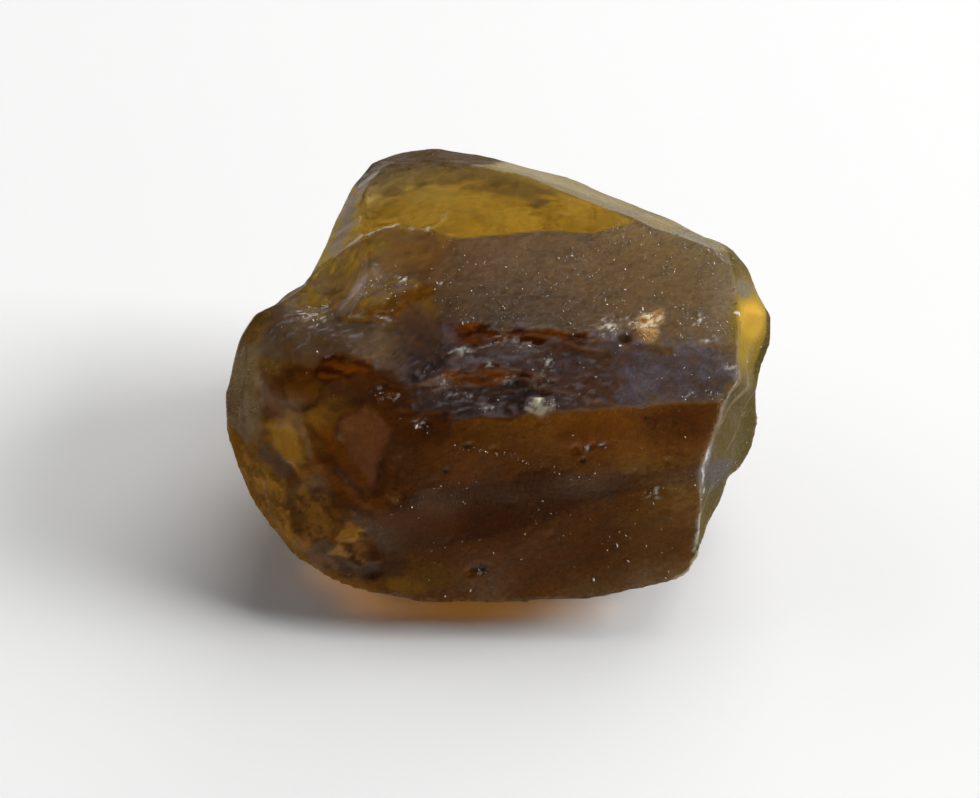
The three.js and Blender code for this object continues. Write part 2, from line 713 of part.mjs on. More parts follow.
// The whole stone.
function stone() {
  const surface = new THREE.Mesh(skin());
  let made = solid(surface.geometry);
  chips.forEach(([name, radius, depth], i) => {
    const at = corner(name).addScaledVector(outAt(name), radius - depth);
    made = made.subtract(lump(radius, at, i, ROUND));
  });
  pits.forEach(([face, x, y, z, radius], i) => {
    const at = pointOn(surface, face, x, y, z);
    at.addScaledVector(faces[face].normal, PIT_CENTRE * radius);
    made = made.subtract(lump(radius, at, i, COARSE));
  });
  for (const nest of nests) {
    const at = pointOn(surface, nest.face, ...nest.at);
    const above = at.clone().addScaledVector(faces[nest.face].normal, NEST_CENTRE * nest.pit);
    made = made.subtract(lump(nest.pit, above, nest.seed, COARSE));
    for (const crumb of crumbs(nest, at)) made = made.add(crumb);
  }
  return made;
}

const material = new THREE.MeshStandardMaterial({
  color: 0x6b4519,
  roughness: 0.35,
  metalness: 0,
});

const garnet = new THREE.Mesh(geometryOf(stone()), material);
garnet.name = "garnet";

const group = new THREE.Group();
group.add(garnet);

export default group;
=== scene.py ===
# %% [markdown]
# # A rough garnet
#
# A loose piece of garnet, ten millimetres long, lies on a pale table. It is a see-through crystal
# that broke on all sides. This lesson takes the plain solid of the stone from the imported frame,
# gives it a finely worked skin, and then spends most of its care on the material: clear crystal
# that soaks up blue light, frosted breaks, and specks where the stone was bruised.

# %% Load the frame
import math

import bmesh
import bpy
import numpy as np
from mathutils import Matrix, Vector, noise


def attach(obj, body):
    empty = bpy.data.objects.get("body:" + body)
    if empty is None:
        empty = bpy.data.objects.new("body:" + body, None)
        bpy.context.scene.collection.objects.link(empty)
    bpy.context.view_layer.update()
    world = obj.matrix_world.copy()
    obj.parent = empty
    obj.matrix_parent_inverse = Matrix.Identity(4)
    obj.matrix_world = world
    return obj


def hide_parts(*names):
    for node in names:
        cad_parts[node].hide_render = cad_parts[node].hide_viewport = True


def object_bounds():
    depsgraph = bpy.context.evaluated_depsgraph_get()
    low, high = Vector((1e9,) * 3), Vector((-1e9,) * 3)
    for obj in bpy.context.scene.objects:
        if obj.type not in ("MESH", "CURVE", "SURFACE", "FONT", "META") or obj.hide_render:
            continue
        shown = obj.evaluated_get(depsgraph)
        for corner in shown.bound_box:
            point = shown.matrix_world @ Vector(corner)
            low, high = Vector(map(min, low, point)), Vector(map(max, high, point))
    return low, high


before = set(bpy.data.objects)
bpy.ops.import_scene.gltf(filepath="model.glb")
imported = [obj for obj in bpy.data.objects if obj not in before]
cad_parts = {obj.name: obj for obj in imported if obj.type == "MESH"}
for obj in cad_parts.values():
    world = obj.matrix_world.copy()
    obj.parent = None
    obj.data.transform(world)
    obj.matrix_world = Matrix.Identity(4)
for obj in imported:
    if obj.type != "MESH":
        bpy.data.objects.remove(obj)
cad_box = [list(corner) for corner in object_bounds()]
MM = 0.001
print("the stone measures", [round((b - a) / MM, 2) for a, b in zip(*cad_box)], "mm")

# %% [markdown]
# ## The camera
#
# The stone is seen from above at a slant, with a long lens from close by, so its far edge looks
# only a little smaller than its near edge. The camera could be aimed with a Track To constraint.
# A rotation worked out from the viewing direction is simpler and leaves nothing live in the scene.

# %% Camera
CAMERA_LENS = 90
CAMERA_DISTANCE = 44.95 * MM
CAMERA_SLANT = math.radians(45)
CAMERA_AIM = Vector((-0.18, -0.8, 2.8)) * MM
CAMERA_NEAREST = 2 * MM

looking = Vector((0, math.cos(CAMERA_SLANT), -math.sin(CAMERA_SLANT)))
camera_data = bpy.data.cameras.new("camera")
camera_data.lens = CAMERA_LENS
camera_data.sensor_width = 36
camera_data.clip_start = CAMERA_NEAREST
camera = bpy.data.objects.new("camera", camera_data)
camera.location = CAMERA_AIM - looking * CAMERA_DISTANCE
camera.rotation_euler = looking.to_track_quat("-Z", "Y").to_euler()
bpy.context.scene.collection.objects.link(camera)
bpy.context.scene.camera = camera
print("camera at", [round(v / MM, 1) for v in camera.location], "mm")

# %% [markdown]
# ## Table and lights
#
# The stone lies on a smooth white table. The main light comes from the right, low and from a
# little behind, and draws the long soft shadow to the left. A second soft light from behind and
# above fills that shadow. It is kept out of the stone's mirror reflections, as a photographer would
# do with a flag, so that the clear faces stay clear. Cycles counts the gloss of a see-through
# surface as transmission, so the flag hides the light from both kinds of ray.

# %% Floor
FLOOR_COLOUR = (0.9, 0.9, 0.895, 1)
FLOOR_ROUGHNESS = 0.6
FLOOR_SIDE = 4
FLOOR_DROP = 0.01 * MM  # keeps the table's top and the stone's foot from being the same surface

bpy.ops.mesh.primitive_plane_add(size=FLOOR_SIDE, location=(0, 0, -FLOOR_DROP))
floor = bpy.context.object
floor.name = "floor"
floor_paint = bpy.data.materials.new("white_table")
floor_paint.use_nodes = True
floor_surface = floor_paint.node_tree.nodes["Principled BSDF"]
floor_surface.inputs["Base Color"].default_value = FLOOR_COLOUR
floor_surface.inputs["Roughness"].default_value = FLOOR_ROUGHNESS
floor.data.materials.append(floor_paint)
print("laid a table", FLOOR_SIDE, "metres wide")


# %% Lights
ROOM_GLOW = (0.015, 0.015, 0.016, 1)


def softbox(name, compass, height, distance, size, share, mirrored=True):
    """A square light that looks at the stone and gives the floor its share of full white."""
    slope = math.radians(height)
    way = math.radians(compass)
    level = math.cos(slope)
    place = Vector((level * math.cos(way), level * math.sin(way), math.sin(slope)))
    data = bpy.data.lights.new(name, "AREA")
    data.size = size
    data.energy = share / FLOOR_COLOUR[0] * math.pi**2 * distance**2 / math.sin(slope)
    light = bpy.data.objects.new(name, data)
    light.location = place * distance
    light.rotation_euler = (-place).to_track_quat("-Z", "Y").to_euler()
    light.visible_glossy = mirrored
    light.visible_transmission = mirrored
    bpy.context.scene.collection.objects.link(light)


softbox("key", compass=8, height=27, distance=0.5, size=0.24, share=0.47)
softbox("back", compass=60, height=40, distance=0.5, size=0.5, share=0.53, mirrored=False)
softbox("side", compass=150, height=30, distance=0.5, size=0.4, share=0.11, mirrored=False)
softbox("top", compass=60, height=80, distance=0.5, size=0.5, share=0.03)
world = bpy.data.worlds.new("room")
bpy.context.scene.world = world
world.use_nodes = True
world.node_tree.nodes["Background"].inputs["Color"].default_value = ROOM_GLOW
print("lit by", len(bpy.data.lights), "soft lights")

# %% [markdown]
# ## Amber light on the table
#
# A see-through stone drops a warm glow on the table before its foot. Cycles could find it by
# following the light through the crystal, as a caustic, but that takes thousands of samples. Two
# thin lamps just over the table give the same glow at once. They are hidden from the camera and
# from reflections, so that only the table shows them.

# %% Amber light
EMBER_COLOUR = (1, 0.36, 0.005)
EMBER_WIDTH = 0.45 * MM
EMBER_HEIGHT = 0.3  # millimetres over the table


def ember(name, x, y, length, turn, power):
    """A thin oval lamp that nobody sees, at a place on the table. turn is in degrees."""
    data = bpy.data.lights.new(name, "AREA")
    data.shape = "ELLIPSE"
    data.size = length * MM
    data.size_y = EMBER_WIDTH
    data.color = EMBER_COLOUR
    data.energy = power
    lamp = bpy.data.objects.new(name, data)
    lamp.location = Vector((x, y, EMBER_HEIGHT)) * MM
    lamp.rotation_euler = (0, 0, math.radians(turn))
    lamp.visible_camera = False
    lamp.visible_glossy = False
    lamp.visible_transmission = False
    bpy.context.scene.collection.objects.link(lamp)
    print(name, "is", length, "mm long")


ember("amber_front", -0.3, -3.45, length=5.4, turn=0, power=1.6e-6)
ember("amber_left", -2.75, -2.95, length=2.2, turn=-32, power=0.7e-6)

# %% [markdown]
# ## Arrays in, arrays out
#
# The stone has about a hundred thousand points, too many to visit one by one in Python. These two
# helpers move a mesh into numpy arrays and back, in millimetres, and everything between them is
# array arithmetic.

# %% Mesh and array helpers
def arrays_of(mesh):
    """The points, in millimetres, and the triangles of a mesh."""
    mesh.calc_loop_triangles()
    points = np.empty(len(mesh.vertices) * 3, np.float32)
    mesh.vertices.foreach_get("co", points)
    triangles = np.empty(len(mesh.loop_triangles) * 3, np.int32)
    mesh.loop_triangles.foreach_get("vertices", triangles)
    return points.reshape(-1, 3).astype(float) / MM, triangles.reshape(-1, 3)


def mesh_of(name, points, triangles):
    """A mesh from points in millimetres and triangles."""
    mesh = bpy.data.meshes.new(name)
    mesh.vertices.add(len(points))
    mesh.vertices.foreach_set("co", (points * MM).astype(np.float32).ravel())
    mesh.loops.add(len(triangles) * 3)
    mesh.loops.foreach_set("vertex_index", triangles.astype(np.int32).ravel())
    mesh.polygons.add(len(triangles))
    mesh.polygons.foreach_set("loop_start", np.arange(0, len(triangles) * 3, 3, dtype=np.int32))
    mesh.update(calc_edges=True)
    return mesh


# %% [markdown]
# ## Finer triangles, crisp edges
#
# The solid's faces are made of flat triangles that would each flash in the light. Plain smoothing
# would melt the edges between the breaks too. So each triangle is first cut into smaller ones.
# Then the triangles' normals are smoothed, each with those neighbours that already face nearly the
# same way, and the points follow the normals. Flat stays flat, and an edge stays an edge.

# %% Finer triangles
FINER = 3  # cuts in each edge of the solid's triangles
SAME_POINT = 1e-7  # metres between points that are one


def finer(source):
    """The source's points, in millimetres, and its triangles, each cut into smaller ones."""
    work = bmesh.new()
    work.from_mesh(source)
    bmesh.ops.remove_doubles(work, verts=work.verts, dist=SAME_POINT)
    bmesh.ops.subdivide_edges(work, edges=work.edges, cuts=FINER, use_grid_fill=True)
    bmesh.ops.triangulate(work, faces=work.faces)
    fine = bpy.data.meshes.new("fine")
    work.to_mesh(fine)
    work.free()
    result = arrays_of(fine)
    bpy.data.meshes.remove(fine)
    return result


# %% Edge-keeping smoothing
def neighbours_of(triangles):
    """For each triangle, the three that share an edge with it."""
    edges = np.sort(triangles[:, [0, 1, 1, 2, 2, 0]].reshape(-1, 2), axis=1)
    key = edges[:, 0].astype(np.int64) * (triangles.max() + 1) + edges[:, 1]
    order = np.argsort(key, kind="stable")
    owner = np.repeat(np.arange(len(triangles)), 3)[order]
    beside = np.empty(len(triangles) * 3, np.int64)
    beside[order[0::2]] = owner[1::2]
    beside[order[1::2]] = owner[0::2]
    return beside.reshape(-1, 3)


def normals_of(points, triangles):
    """Unit normals and areas of the triangles."""
    a, b, c = (points[triangles[:, i]] for i in range(3))
    cross = np.cross(b - a, c - a)
    length = np.linalg.norm(cross, axis=1)
    return cross / np.maximum(length, 1e-12)[:, None], length / 2


def gathered(triangles, values, count):
    """The sum of the triangles' values at each of their points."""
    total = np.zeros((count, 3))
    for i in range(3):
        for axis in range(3):
            total[:, axis] += np.bincount(triangles[:, i], values[:, axis], minlength=count)
    return total


def smooth_breaks(points, triangles, passes, sharp):
    """Moves the points so that the surface is smooth except at edges turned more than sharp."""
    beside = neighbours_of(triangles)
    normals, areas = normals_of(points, triangles)
    for _ in range(passes):
        near = normals[beside]
        turn = 1 - np.einsum("ijk,ik->ij", near, normals)
        weight = areas[beside] * np.exp(-((turn / (1 - math.cos(sharp))) ** 2))
        normals = normals * areas[:, None] + np.einsum("ijk,ij->ik", near, weight)
        normals /= np.linalg.norm(normals, axis=1)[:, None]
    touching = np.bincount(triangles.ravel(), minlength=len(points))[:, None]
    for _ in range(passes):
        middle = points[triangles].mean(axis=1)
        move = np.zeros_like(points)
        for i in range(3):
            reach = np.einsum("ij,ij->i", normals, middle - points[triangles[:, i]])
            for axis in range(3):
                move[:, axis] += np.bincount(
                    triangles[:, i], reach * normals[:, axis], minlength=len(points)
                )
        points = points + move / touching
    return points


points, triangles = finer(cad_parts["garnet"].data)
points = smooth_breaks(points, triangles, passes=24, sharp=math.radians(13))
print("cut to", len(triangles), "triangles and smoothed")

# %% [markdown]
# ## An even skin
#
# The triangles still differ in size. A voxel remesh turns them into an even net of small ones,
# which can carry fine relief anywhere. Blender's remesh won't take voxels under a tenth of a
# millimetre, so the copy is made a thousand times larger for this step.

# %% Remesh
VOXEL = 0.054  # millimetres


def even_skin(points, triangles):
    """The same surface as an even net of triangles."""
    large = mesh_of("large", points / MM, triangles)
    holder = bpy.data.objects.new("large", large)
    bpy.context.scene.collection.objects.link(holder)
    remesh = holder.modifiers.new("even", "REMESH")
    remesh.mode = "VOXEL"
    remesh.voxel_size = VOXEL
    depsgraph = bpy.context.evaluated_depsgraph_get()
    even = bpy.data.meshes.new_from_object(holder.evaluated_get(depsgraph))
    result = arrays_of(even)
    for mesh in (large, even):
        bpy.data.meshes.remove(mesh)
    return result[0] * MM, result[1]


points, triangles = even_skin(points, triangles)
points = smooth_breaks(points, triangles, passes=2, sharp=math.radians(40))
print("the skin has", len(triangles), "even triangles")

# %% [markdown]
# ## Where things are on the skin
#
# The stone's features are told by their place on a page: its x is the stone's own, and its height
# is y + z, as on a sheet that leans back at 45 degrees. Nearly everything worth naming faces that
# sheet. A mask is an array of one number for each point, 0 outside the feature and 1 inside, with
# a soft edge, so masks can be multiplied and mixed like any other numbers.

# %% Masks
def step(value, low, high):
    """0 below low, 1 above high, and smooth between."""
    t = np.clip((value - low) / (high - low), 0, 1)
    return t * t * (3 - 2 * t)


def point_normals(points, triangles):
    """The unit normal at each point."""
    normals, areas = normals_of(points, triangles)
    total = gathered(triangles, normals * areas[:, None], len(points))
    return total / np.linalg.norm(total, axis=1)[:, None]


def cloud(size, seed, detail=2, long=1, turn=0):
    """Soft noise between about -1 and 1. size is its swells' in millimetres, long stretches them
    along a line on the page, and turn is that line's angle in degrees."""
    c, s = math.cos(math.radians(turn)), math.sin(math.radians(turn))
    place = np.stack([page @ (c, s) / long, page @ (-s, c), points[:, 1] - points[:, 2]], axis=1)
    place = place / size + np.array((1.7, 2.3, 5.1)) * seed
    return np.array([noise.fractal(Vector(p), 1, 2, detail) for p in place])


normals = point_normals(points, triangles)
page = np.stack([points[:, 0], points[:, 1] + points[:, 2]], axis=1)
faces_page = step(normals[:, 2] - normals[:, 1], 0.15, 0.4)
swell = cloud(0.9, seed=1)
fine = cloud(0.16, seed=2)
drift = np.stack([cloud(0.35, seed=3, detail=4), cloud(0.35, seed=4, detail=4)], axis=1)


def edge_distance(place, path):
    """How far each place on the page is from a path."""
    best = np.full(len(place), 1e9)
    for a, b in zip(path, path[1:]):
        a, b = np.array(a, float), np.array(b, float)
        share = np.clip(((place - a) @ (b - a)) / ((b - a) @ (b - a)), 0, 1)
        best = np.minimum(best, np.linalg.norm(place - a - share[:, None] * (b - a), axis=1))
    return best


def within(outline, blur=0.08, wander=0.0, facing=None):
    """A mask of a closed outline on the page. wander makes its edge uneven, by millimetres.
    facing, a mask of its own, may take the place of what faces the page."""
    place = page + wander * drift
    around = outline + outline[:1]
    odd = np.zeros(len(place), bool)
    for (ax, ay), (bx, by) in zip(around, around[1:]):
        spans = (ay > place[:, 1]) != (by > place[:, 1])
        with np.errstate(divide="ignore", invalid="ignore"):
            odd ^= spans & (place[:, 0] < (bx - ax) * (place[:, 1] - ay) / (by - ay) + ax)
    inside_by = edge_distance(place, around) * np.where(odd, 1, -1)
    return step(inside_by, -blur, blur) * (faces_page if facing is None else facing)


def along(path, width, wander=0.0):
    """A mask of a line on the page."""
    return (1 - step(edge_distance(page + wander * drift, path), 0.3 * width, width)) * faces_page


def spot(x, height, radius, flat=1, turn=0):
    """A mask of a round or oval spot on the page. turn is in degrees."""
    away = page - (x, height)
    c, s = math.cos(math.radians(turn)), math.sin(math.radians(turn))
    u, v = away @ (c, s), away @ (-s, c) * flat
    return np.exp(-((u * u + v * v) / radius**2)) * faces_page


print(int(faces_page.sum()), "of", len(points), "points face the page")

# %% [markdown]
# ## The breaks of the stone
#
# Each outline here is one break, or one part of a break with its own look, as corners on the page
# in millimetres. An outline has only the corners that its shape needs.

# %% Outlines of the large breaks
REAR_TOP = [
    (-2.7, 5.95), (-2.25, 6.3), (-1.98, 6.4), (-1.63, 6.37), (-1.3, 6.4), (-0.95, 6.15),
    (-0.55, 6.12), (0.85, 6.32), (1.7, 6.25), (2.45, 6.55), (1.55, 7.25), (0.2, 8.05),
    (-1.15, 8.3), (-2.15, 8.1), (-2.6, 7.4), (-2.62, 6.6),
]
TABLE = [
    (-1.35, 4.9), (-1.0, 4.0), (-0.45, 3.8), (0.65, 3.75), (1.6, 3.5), (2.75, 3.3), (4.2, 3.35),
    (4.25, 4.2), (4.25, 5.0), (4.15, 5.7), (3.15, 6.2), (2.45, 6.55), (1.7, 6.25), (0.85, 6.32),
    (-0.55, 6.12), (-0.95, 6.15),
]
TABLE_LEFT = [
    (-2.45, 4.9), (-1.35, 4.9), (-0.95, 6.15), (-1.3, 6.35), (-1.63, 6.3), (-1.98, 6.33),
    (-2.45, 6.1), (-2.75, 5.8), (-2.4, 5.45),
]
LEFT_SLOPE = [
    (-2.6, 6.2), (-2.62, 7.4), (-2.8, 7.8), (-3.0, 7.0), (-3.3, 5.9), (-3.55, 5.2), (-3.2, 5.5),
]
BOWL = [
    (-2.6, 6.0), (-3.4, 5.4), (-4.0, 4.5), (-3.3, 4.05), (-2.0, 4.2), (-1.35, 4.9), (-2.4, 5.45),
]
SADDLE = [(-1.35, 4.75), (-2.0, 4.0), (-2.7, 3.1), (-1.75, 2.3), (-1.1, 2.7), (-1.0, 3.9)]
LOBE_TOP = [(-4.0, 4.4), (-3.3, 4.05), (-2.0, 3.95), (-2.6, 3.1), (-3.55, 2.95), (-4.5, 3.1)]
LOBE_SIDE = [
    (-3.55, 2.95), (-2.6, 3.1), (-1.75, 2.5), (-1.5, 1.7), (-2.4, 2.1), (-3.0, 1.9), (-3.5, 1.6),
    (-4.3, 1.45), (-4.45, 2.4),
]
BAND = [
    (-2.2, 2.2), (-1.5, 2.8), (-1.1, 3.9), (-0.45, 3.85), (1.7, 3.55), (2.1, 3.0), (1.95, 1.75),
    (0.85, 1.6), (-0.9, 1.5), (-1.6, 1.6),
]
BEVEL = [
    (1.6, 3.45), (2.75, 3.3), (4.15, 3.25), (4.15, 2.4), (3.9, 1.95), (1.95, 1.75), (1.5, 2.4),
]
FRONT = [
    (-0.9, 1.5), (0.85, 1.65), (1.95, 1.75), (3.9, 1.95), (3.6, 0.5), (3.6, -1.45), (3.5, -2.5),
    (1.5, -3.3), (-1.35, -3.4), (-2.3, -3.2), (-2.0, -1.5), (-1.7, 0.8),
]
LOWER_LEFT = [
    (-5.1, 1.3), (-4.3, 1.45), (-3.5, 1.6), (-3.0, 1.9), (-2.4, 2.1), (-1.7, 0.8), (-2.0, -1.5),
    (-2.3, -3.3), (-3.6, -3.0), (-4.5, -1.5), (-5.1, 0.2),
]
print("outlined the large breaks on", len(points), "points")

# %% [markdown]
# ## Broken relief
#
# A crystal breaks in shells, steps and splinters. The tools here carve them into the skin. Ripples
# are rings around the point that was struck. A chip is a flat patch with its own tilt, so that
# light catches it apart from its neighbours. Crags are sharp uneven ridges. A lip is a thin raised
# line, where one break undercuts another.

# %% Relief tools
def ripples(x, height, spacing, rise, wander=0.0):
    """Rings around a place on the page."""
    away = np.linalg.norm(page - (x, height), axis=1)
    return rise * np.sin(2 * math.pi * (away + wander) / spacing)


def chip(outline, rise, across=0.0, up=0.0, blur=0.06):
    """A flat patch that stands up by rise at its middle. across and up are its slopes."""
    middle = np.mean(outline, axis=0)
    away = page - middle
    return within(outline, blur, wander=0.1) * (rise + away @ (across, up))


def crags(size, rise, seed, long=1, turn=0):
    """Sharp uneven ridges."""
    return rise * (0.5 - 1.6 * np.abs(cloud(size, seed, detail=2, long=long, turn=turn)))


# %% [markdown]
# The small features come next, again as places on the page: flat chips with their slopes, lips
# with their width and rise, pits with their depth, and the places of the brightest painted glints.

# %% Small features
CHIPS = {  # outline, rise at the middle, slope across, slope up
    "tan_flake": (
        [(-4.25, 1.35), (-3.75, 1.25), (-3.45, 0.85), (-3.6, 0.3), (-3.95, 0.45)], 0.01, 0.05,
        -0.04,
    ),
    "olive_flake": (
        [(-4.3, -0.05), (-3.85, 0.05), (-3.6, -0.3), (-3.6, -0.9), (-4.05, -0.85)], 0.0, -0.04,
        0.05,
    ),
    "grey_flake": ([(-3.45, 0.4), (-3.05, 0.45), (-2.9, -0.15), (-3.3, -0.3)], 0.01, 0.05, 0.04),
    "pink_flake": (
        [(-2.9, 1.45), (-2.4, 1.8), (-1.95, 1.3), (-2.05, 0.6), (-2.25, -0.35), (-2.7, 0.6)],
        0.01, -0.04, 0.03,
    ),
    "wedge": ([(-2.9, -1.5), (-2.6, -1.1), (-2.4, -1.5), (-2.7, -1.6)], 0.02, 0.06, -0.1),
    "leaf": ([(-2.75, -2.05), (-2.5, -1.9), (-2.2, -2.1), (-2.5, -2.25)], 0.02, 0.0, -0.2),
    "lens": (
        [(-0.45, 3.2), (-0.1, 3.38), (0.5, 3.38), (0.75, 3.2), (0.5, 2.98), (-0.2, 2.98)], 0.03,
        0.03, 0.12,
    ),
    "plate": ([(-1.0, 2.95), (-0.5, 3.15), (-0.5, 2.85), (-0.9, 2.7)], 0.02, -0.1, 0.15),
    "knob": ([(0.85, 2.95), (1.4, 3.1), (1.7, 2.8), (1.3, 2.5), (0.95, 2.65)], 0.02, 0.04, 0.06),
    "tooth": ([(0.42, 1.72), (0.5, 2.0), (0.8, 2.02), (0.86, 1.75), (0.7, 1.58)], 0.05, 0.1, 0.2),
    "crust": (
        [(2.3, 3.75), (2.5, 4.12), (2.88, 4.16), (2.75, 3.6), (2.5, 3.35)], 0.012, 0.0, 0.0,
    ),
    "shoulder": (
        [(-2.55, 4.15), (-1.97, 4.32), (-1.15, 4.8), (-1.5, 4.85), (-2.4, 4.75)], 0.02, 0.03,
        -0.1,
    ),
}
LIPS = {  # path, width, rise
    "hook": ([(-0.93, 6.86), (-1.1, 6.55), (-1.35, 6.37), (-1.66, 6.36)], 0.06, 0.012),
    "crest": (
        [(-1.66, 6.36), (-1.84, 6.46), (-2.3, 6.29), (-2.5, 6.17), (-3.0, 5.63)], 0.07, 0.02,
    ),
    "ridge": ([(-2.8, 4.05), (-2.33, 4.12), (-2.19, 4.1), (-1.95, 3.95)], 0.09, 0.05),
    "rim": ([(-0.92, 3.1), (-0.46, 3.25), (-0.23, 3.37), (0.14, 3.45), (0.7, 3.37)], 0.08, 0.04),
    "shelf": ([(-0.3, 2.22), (0.3, 2.22), (0.85, 2.35)], 0.07, 0.04),
}
PITS = [  # x, height, radius, depth
    (-0.59, 0.82, 0.06, 0.03), (-0.96, 0.19, 0.06, 0.03), (1.47, 0.45, 0.06, 0.03),
    (1.53, 0.78, 0.06, 0.02), (1.8, 0.85, 0.05, 0.02), (2.59, 1.53, 0.06, 0.03),
    (3.05, 1.4, 0.06, 0.03), (3.17, 0.65, 0.05, 0.02), (-0.32, -2.3, 0.11, 0.04),
    (2.17, 3.5, 0.12, 0.06), (0.9, 2.4, 0.06, 0.03), (-2.3, -2.45, 0.15, 0.05),
]

# the brightest bruises below are painted glints: white highlights where the breaks catch the light
PAINTED_GLINTS = [  # x, height and radius of the brightest bruises
    (-2.1, 2.16, 0.12), (-1.85, 2.08, 0.1), (-1.41, 1.39, 0.1), (-1.01, 2.48, 0.1),
    (-0.82, 2.07, 0.1), (-0.57, 2.05, 0.08), (-0.2, 1.8, 0.1), (0.12, 2.46, 0.14),
    (0.68, 2.48, 0.14), (0.37, 3.25, 0.1), (0.8, 2.93, 0.1), (0.0, 3.44, 0.12),
    (-0.6, 3.2, 0.1), (-0.2, 2.84, 0.06), (0.9, 1.85, 0.1), (-2.15, 4.03, 0.12),
    (-2.5, 4.15, 0.1), (-3.3, 4.05, 0.15), (-3.17, 4.43, 0.1), (-3.6, 4.2, 0.1),
    (-1.01, 4.93, 0.07), (-1.71, 5.08, 0.1), (0.15, 4.84, 0.06), (1.85, 3.8, 0.15),
    (2.3, 3.9, 0.12), (3.5, 3.98, 0.12), (3.65, 3.5, 0.1), (4.2, 4.17, 0.06),
    (4.05, 2.75, 0.1), (3.3, 2.07, 0.12), (3.8, 2.06, 0.1), (1.56, 0.78, 0.05),
    (1.81, 0.85, 0.05), (2.75, -0.37, 0.12), (-0.29, -2.35, 0.08), (-1.3, 6.33, 0.08),
]
print(len(CHIPS), "chips,", len(LIPS), "lips,", len(PITS), "pits and", len(PAINTED_GLINTS), "bruises")

# %% [markdown]
# ## Carving
#
# Now the relief is added up, one break after another, and the points move along their normals by
# it. A Displace modifier with a texture could do this too, but it can't tell one break from the
# next, as masks can. The foot, which stands on the table, is left as it is.

# %% Carve the skin
not_foot = step(points[:, 2], 0.05, 0.25)
ragged = step(swell, -0.5, 0.3)
relief = 0.002 * fine
relief += 0.003 * fine * (within(TABLE) + within(BEVEL) + within(TABLE_LEFT) + within(LOBE_TOP))
relief += within(BAND, 0.25, 0.3) * crags(0.22, 0.035, seed=5, long=2.5, turn=-3)
relief += within(BOWL, 0.2, 0.2) * crags(0.2, 0.03, seed=6, long=3, turn=60)
relief += within(LOWER_LEFT, 0.2, 0.2) * ragged * crags(0.4, 0.012, seed=7, long=3, turn=-60)
relief += within(LOBE_SIDE, 0.2, 0.2) * ragged * crags(0.5, 0.012, seed=8, long=2, turn=20)
relief += within(SADDLE, 0.2, 0.2) * ragged * crags(0.3, 0.02, seed=9, long=2, turn=30)
relief += within(FRONT, 0.3) * 0.0015 * cloud(0.07, seed=10, long=5, turn=48)
relief += within(REAR_TOP, 0.2) * ripples(-2.9, 8.4, 0.5, 0.0025, 0.25 * swell)
relief += within(LEFT_SLOPE, 0.1) * ripples(-2.0, 4.0, 0.35, 0.006, 0.2 * swell)
for outline, rise, across, up in CHIPS.values():
    relief += chip(outline, rise, across, up)
for path, width, rise in LIPS.values():
    relief += rise * along(path, width)
for x, height, radius, depth in PITS:
    relief -= 0.5 * depth * spot(x, height, radius)

points = points + normals * (relief * not_foot)[:, None]
normals = point_normals(points, triangles)
print("relief between", relief.min().round(3), "and", relief.max().round(3), "mm")

# %% [markdown]
# ## Painting the fields
#
# The crystal is one material, but its finish changes from break to break. Four fields on the
# points carry that: how frosted the surface is, how much of a dull veil lies in it, the veil's
# colour, and how much of each colour of light the face lets through. Each is laid on through
# masks, like paint.

# %% Fields
def srgb(red, green, blue):
    """A colour as a screen shows it, 0 to 255, as the linear numbers that shaders use."""
    return np.array([(v / 255 / 12.92) if v <= 10 else ((v / 255 + 0.055) / 1.055) ** 2.4
                     for v in (red, green, blue)])


def lay(field, value, mask):
    """Lays a value over a field through a mask."""
    if field.ndim == 2:
        mask = mask[:, None]
    field += (value - field) * np.clip(mask, 0, 1)


GREY = (150, 140, 145)
HAZE = (155, 142, 128)
BLUISH = (150, 135, 140)
WHITE = (235, 228, 220)
GREENISH = (225, 215, 175)
TAN = (235, 165, 62)
OLIVE = (76, 62, 24)
UMBER = (66, 47, 22)
BROWN = (112, 62, 26)

count = len(points)
frost = np.full(count, 0.25)
veil = np.zeros(count)
veil_colour = np.tile(srgb(*GREY), (count, 1))
through = np.ones((count, 3))


def finish(mask, passes=None, rough=None, dull=None, colour=None):
    """Paints one place: the light it passes, its roughness, and its veil's share and colour."""
    if passes is not None:
        lay(through, np.array(passes), mask)
    if rough is not None:
        lay(frost, rough, mask)
    if dull is not None:
        lay(veil, dull, mask)
    if colour is not None:
        lay(veil_colour, srgb(*colour), step(mask, 0, 0.6))


low_down = 1 - step(points[:, 2], 3.9, 4.6)
faces_down = 1 - step(normals[:, 2], -0.1, 0.25)
faces_back = step(normals[:, 1], 0.1, 0.4)
hidden = np.maximum(faces_down, faces_back * low_down)
finish(hidden, rough=0.85)
finish(faces_page, passes=(0.6, 0.5, 0.4))
print("primed", count, "points, hidden ones the roughest at", frost.max().round(2))
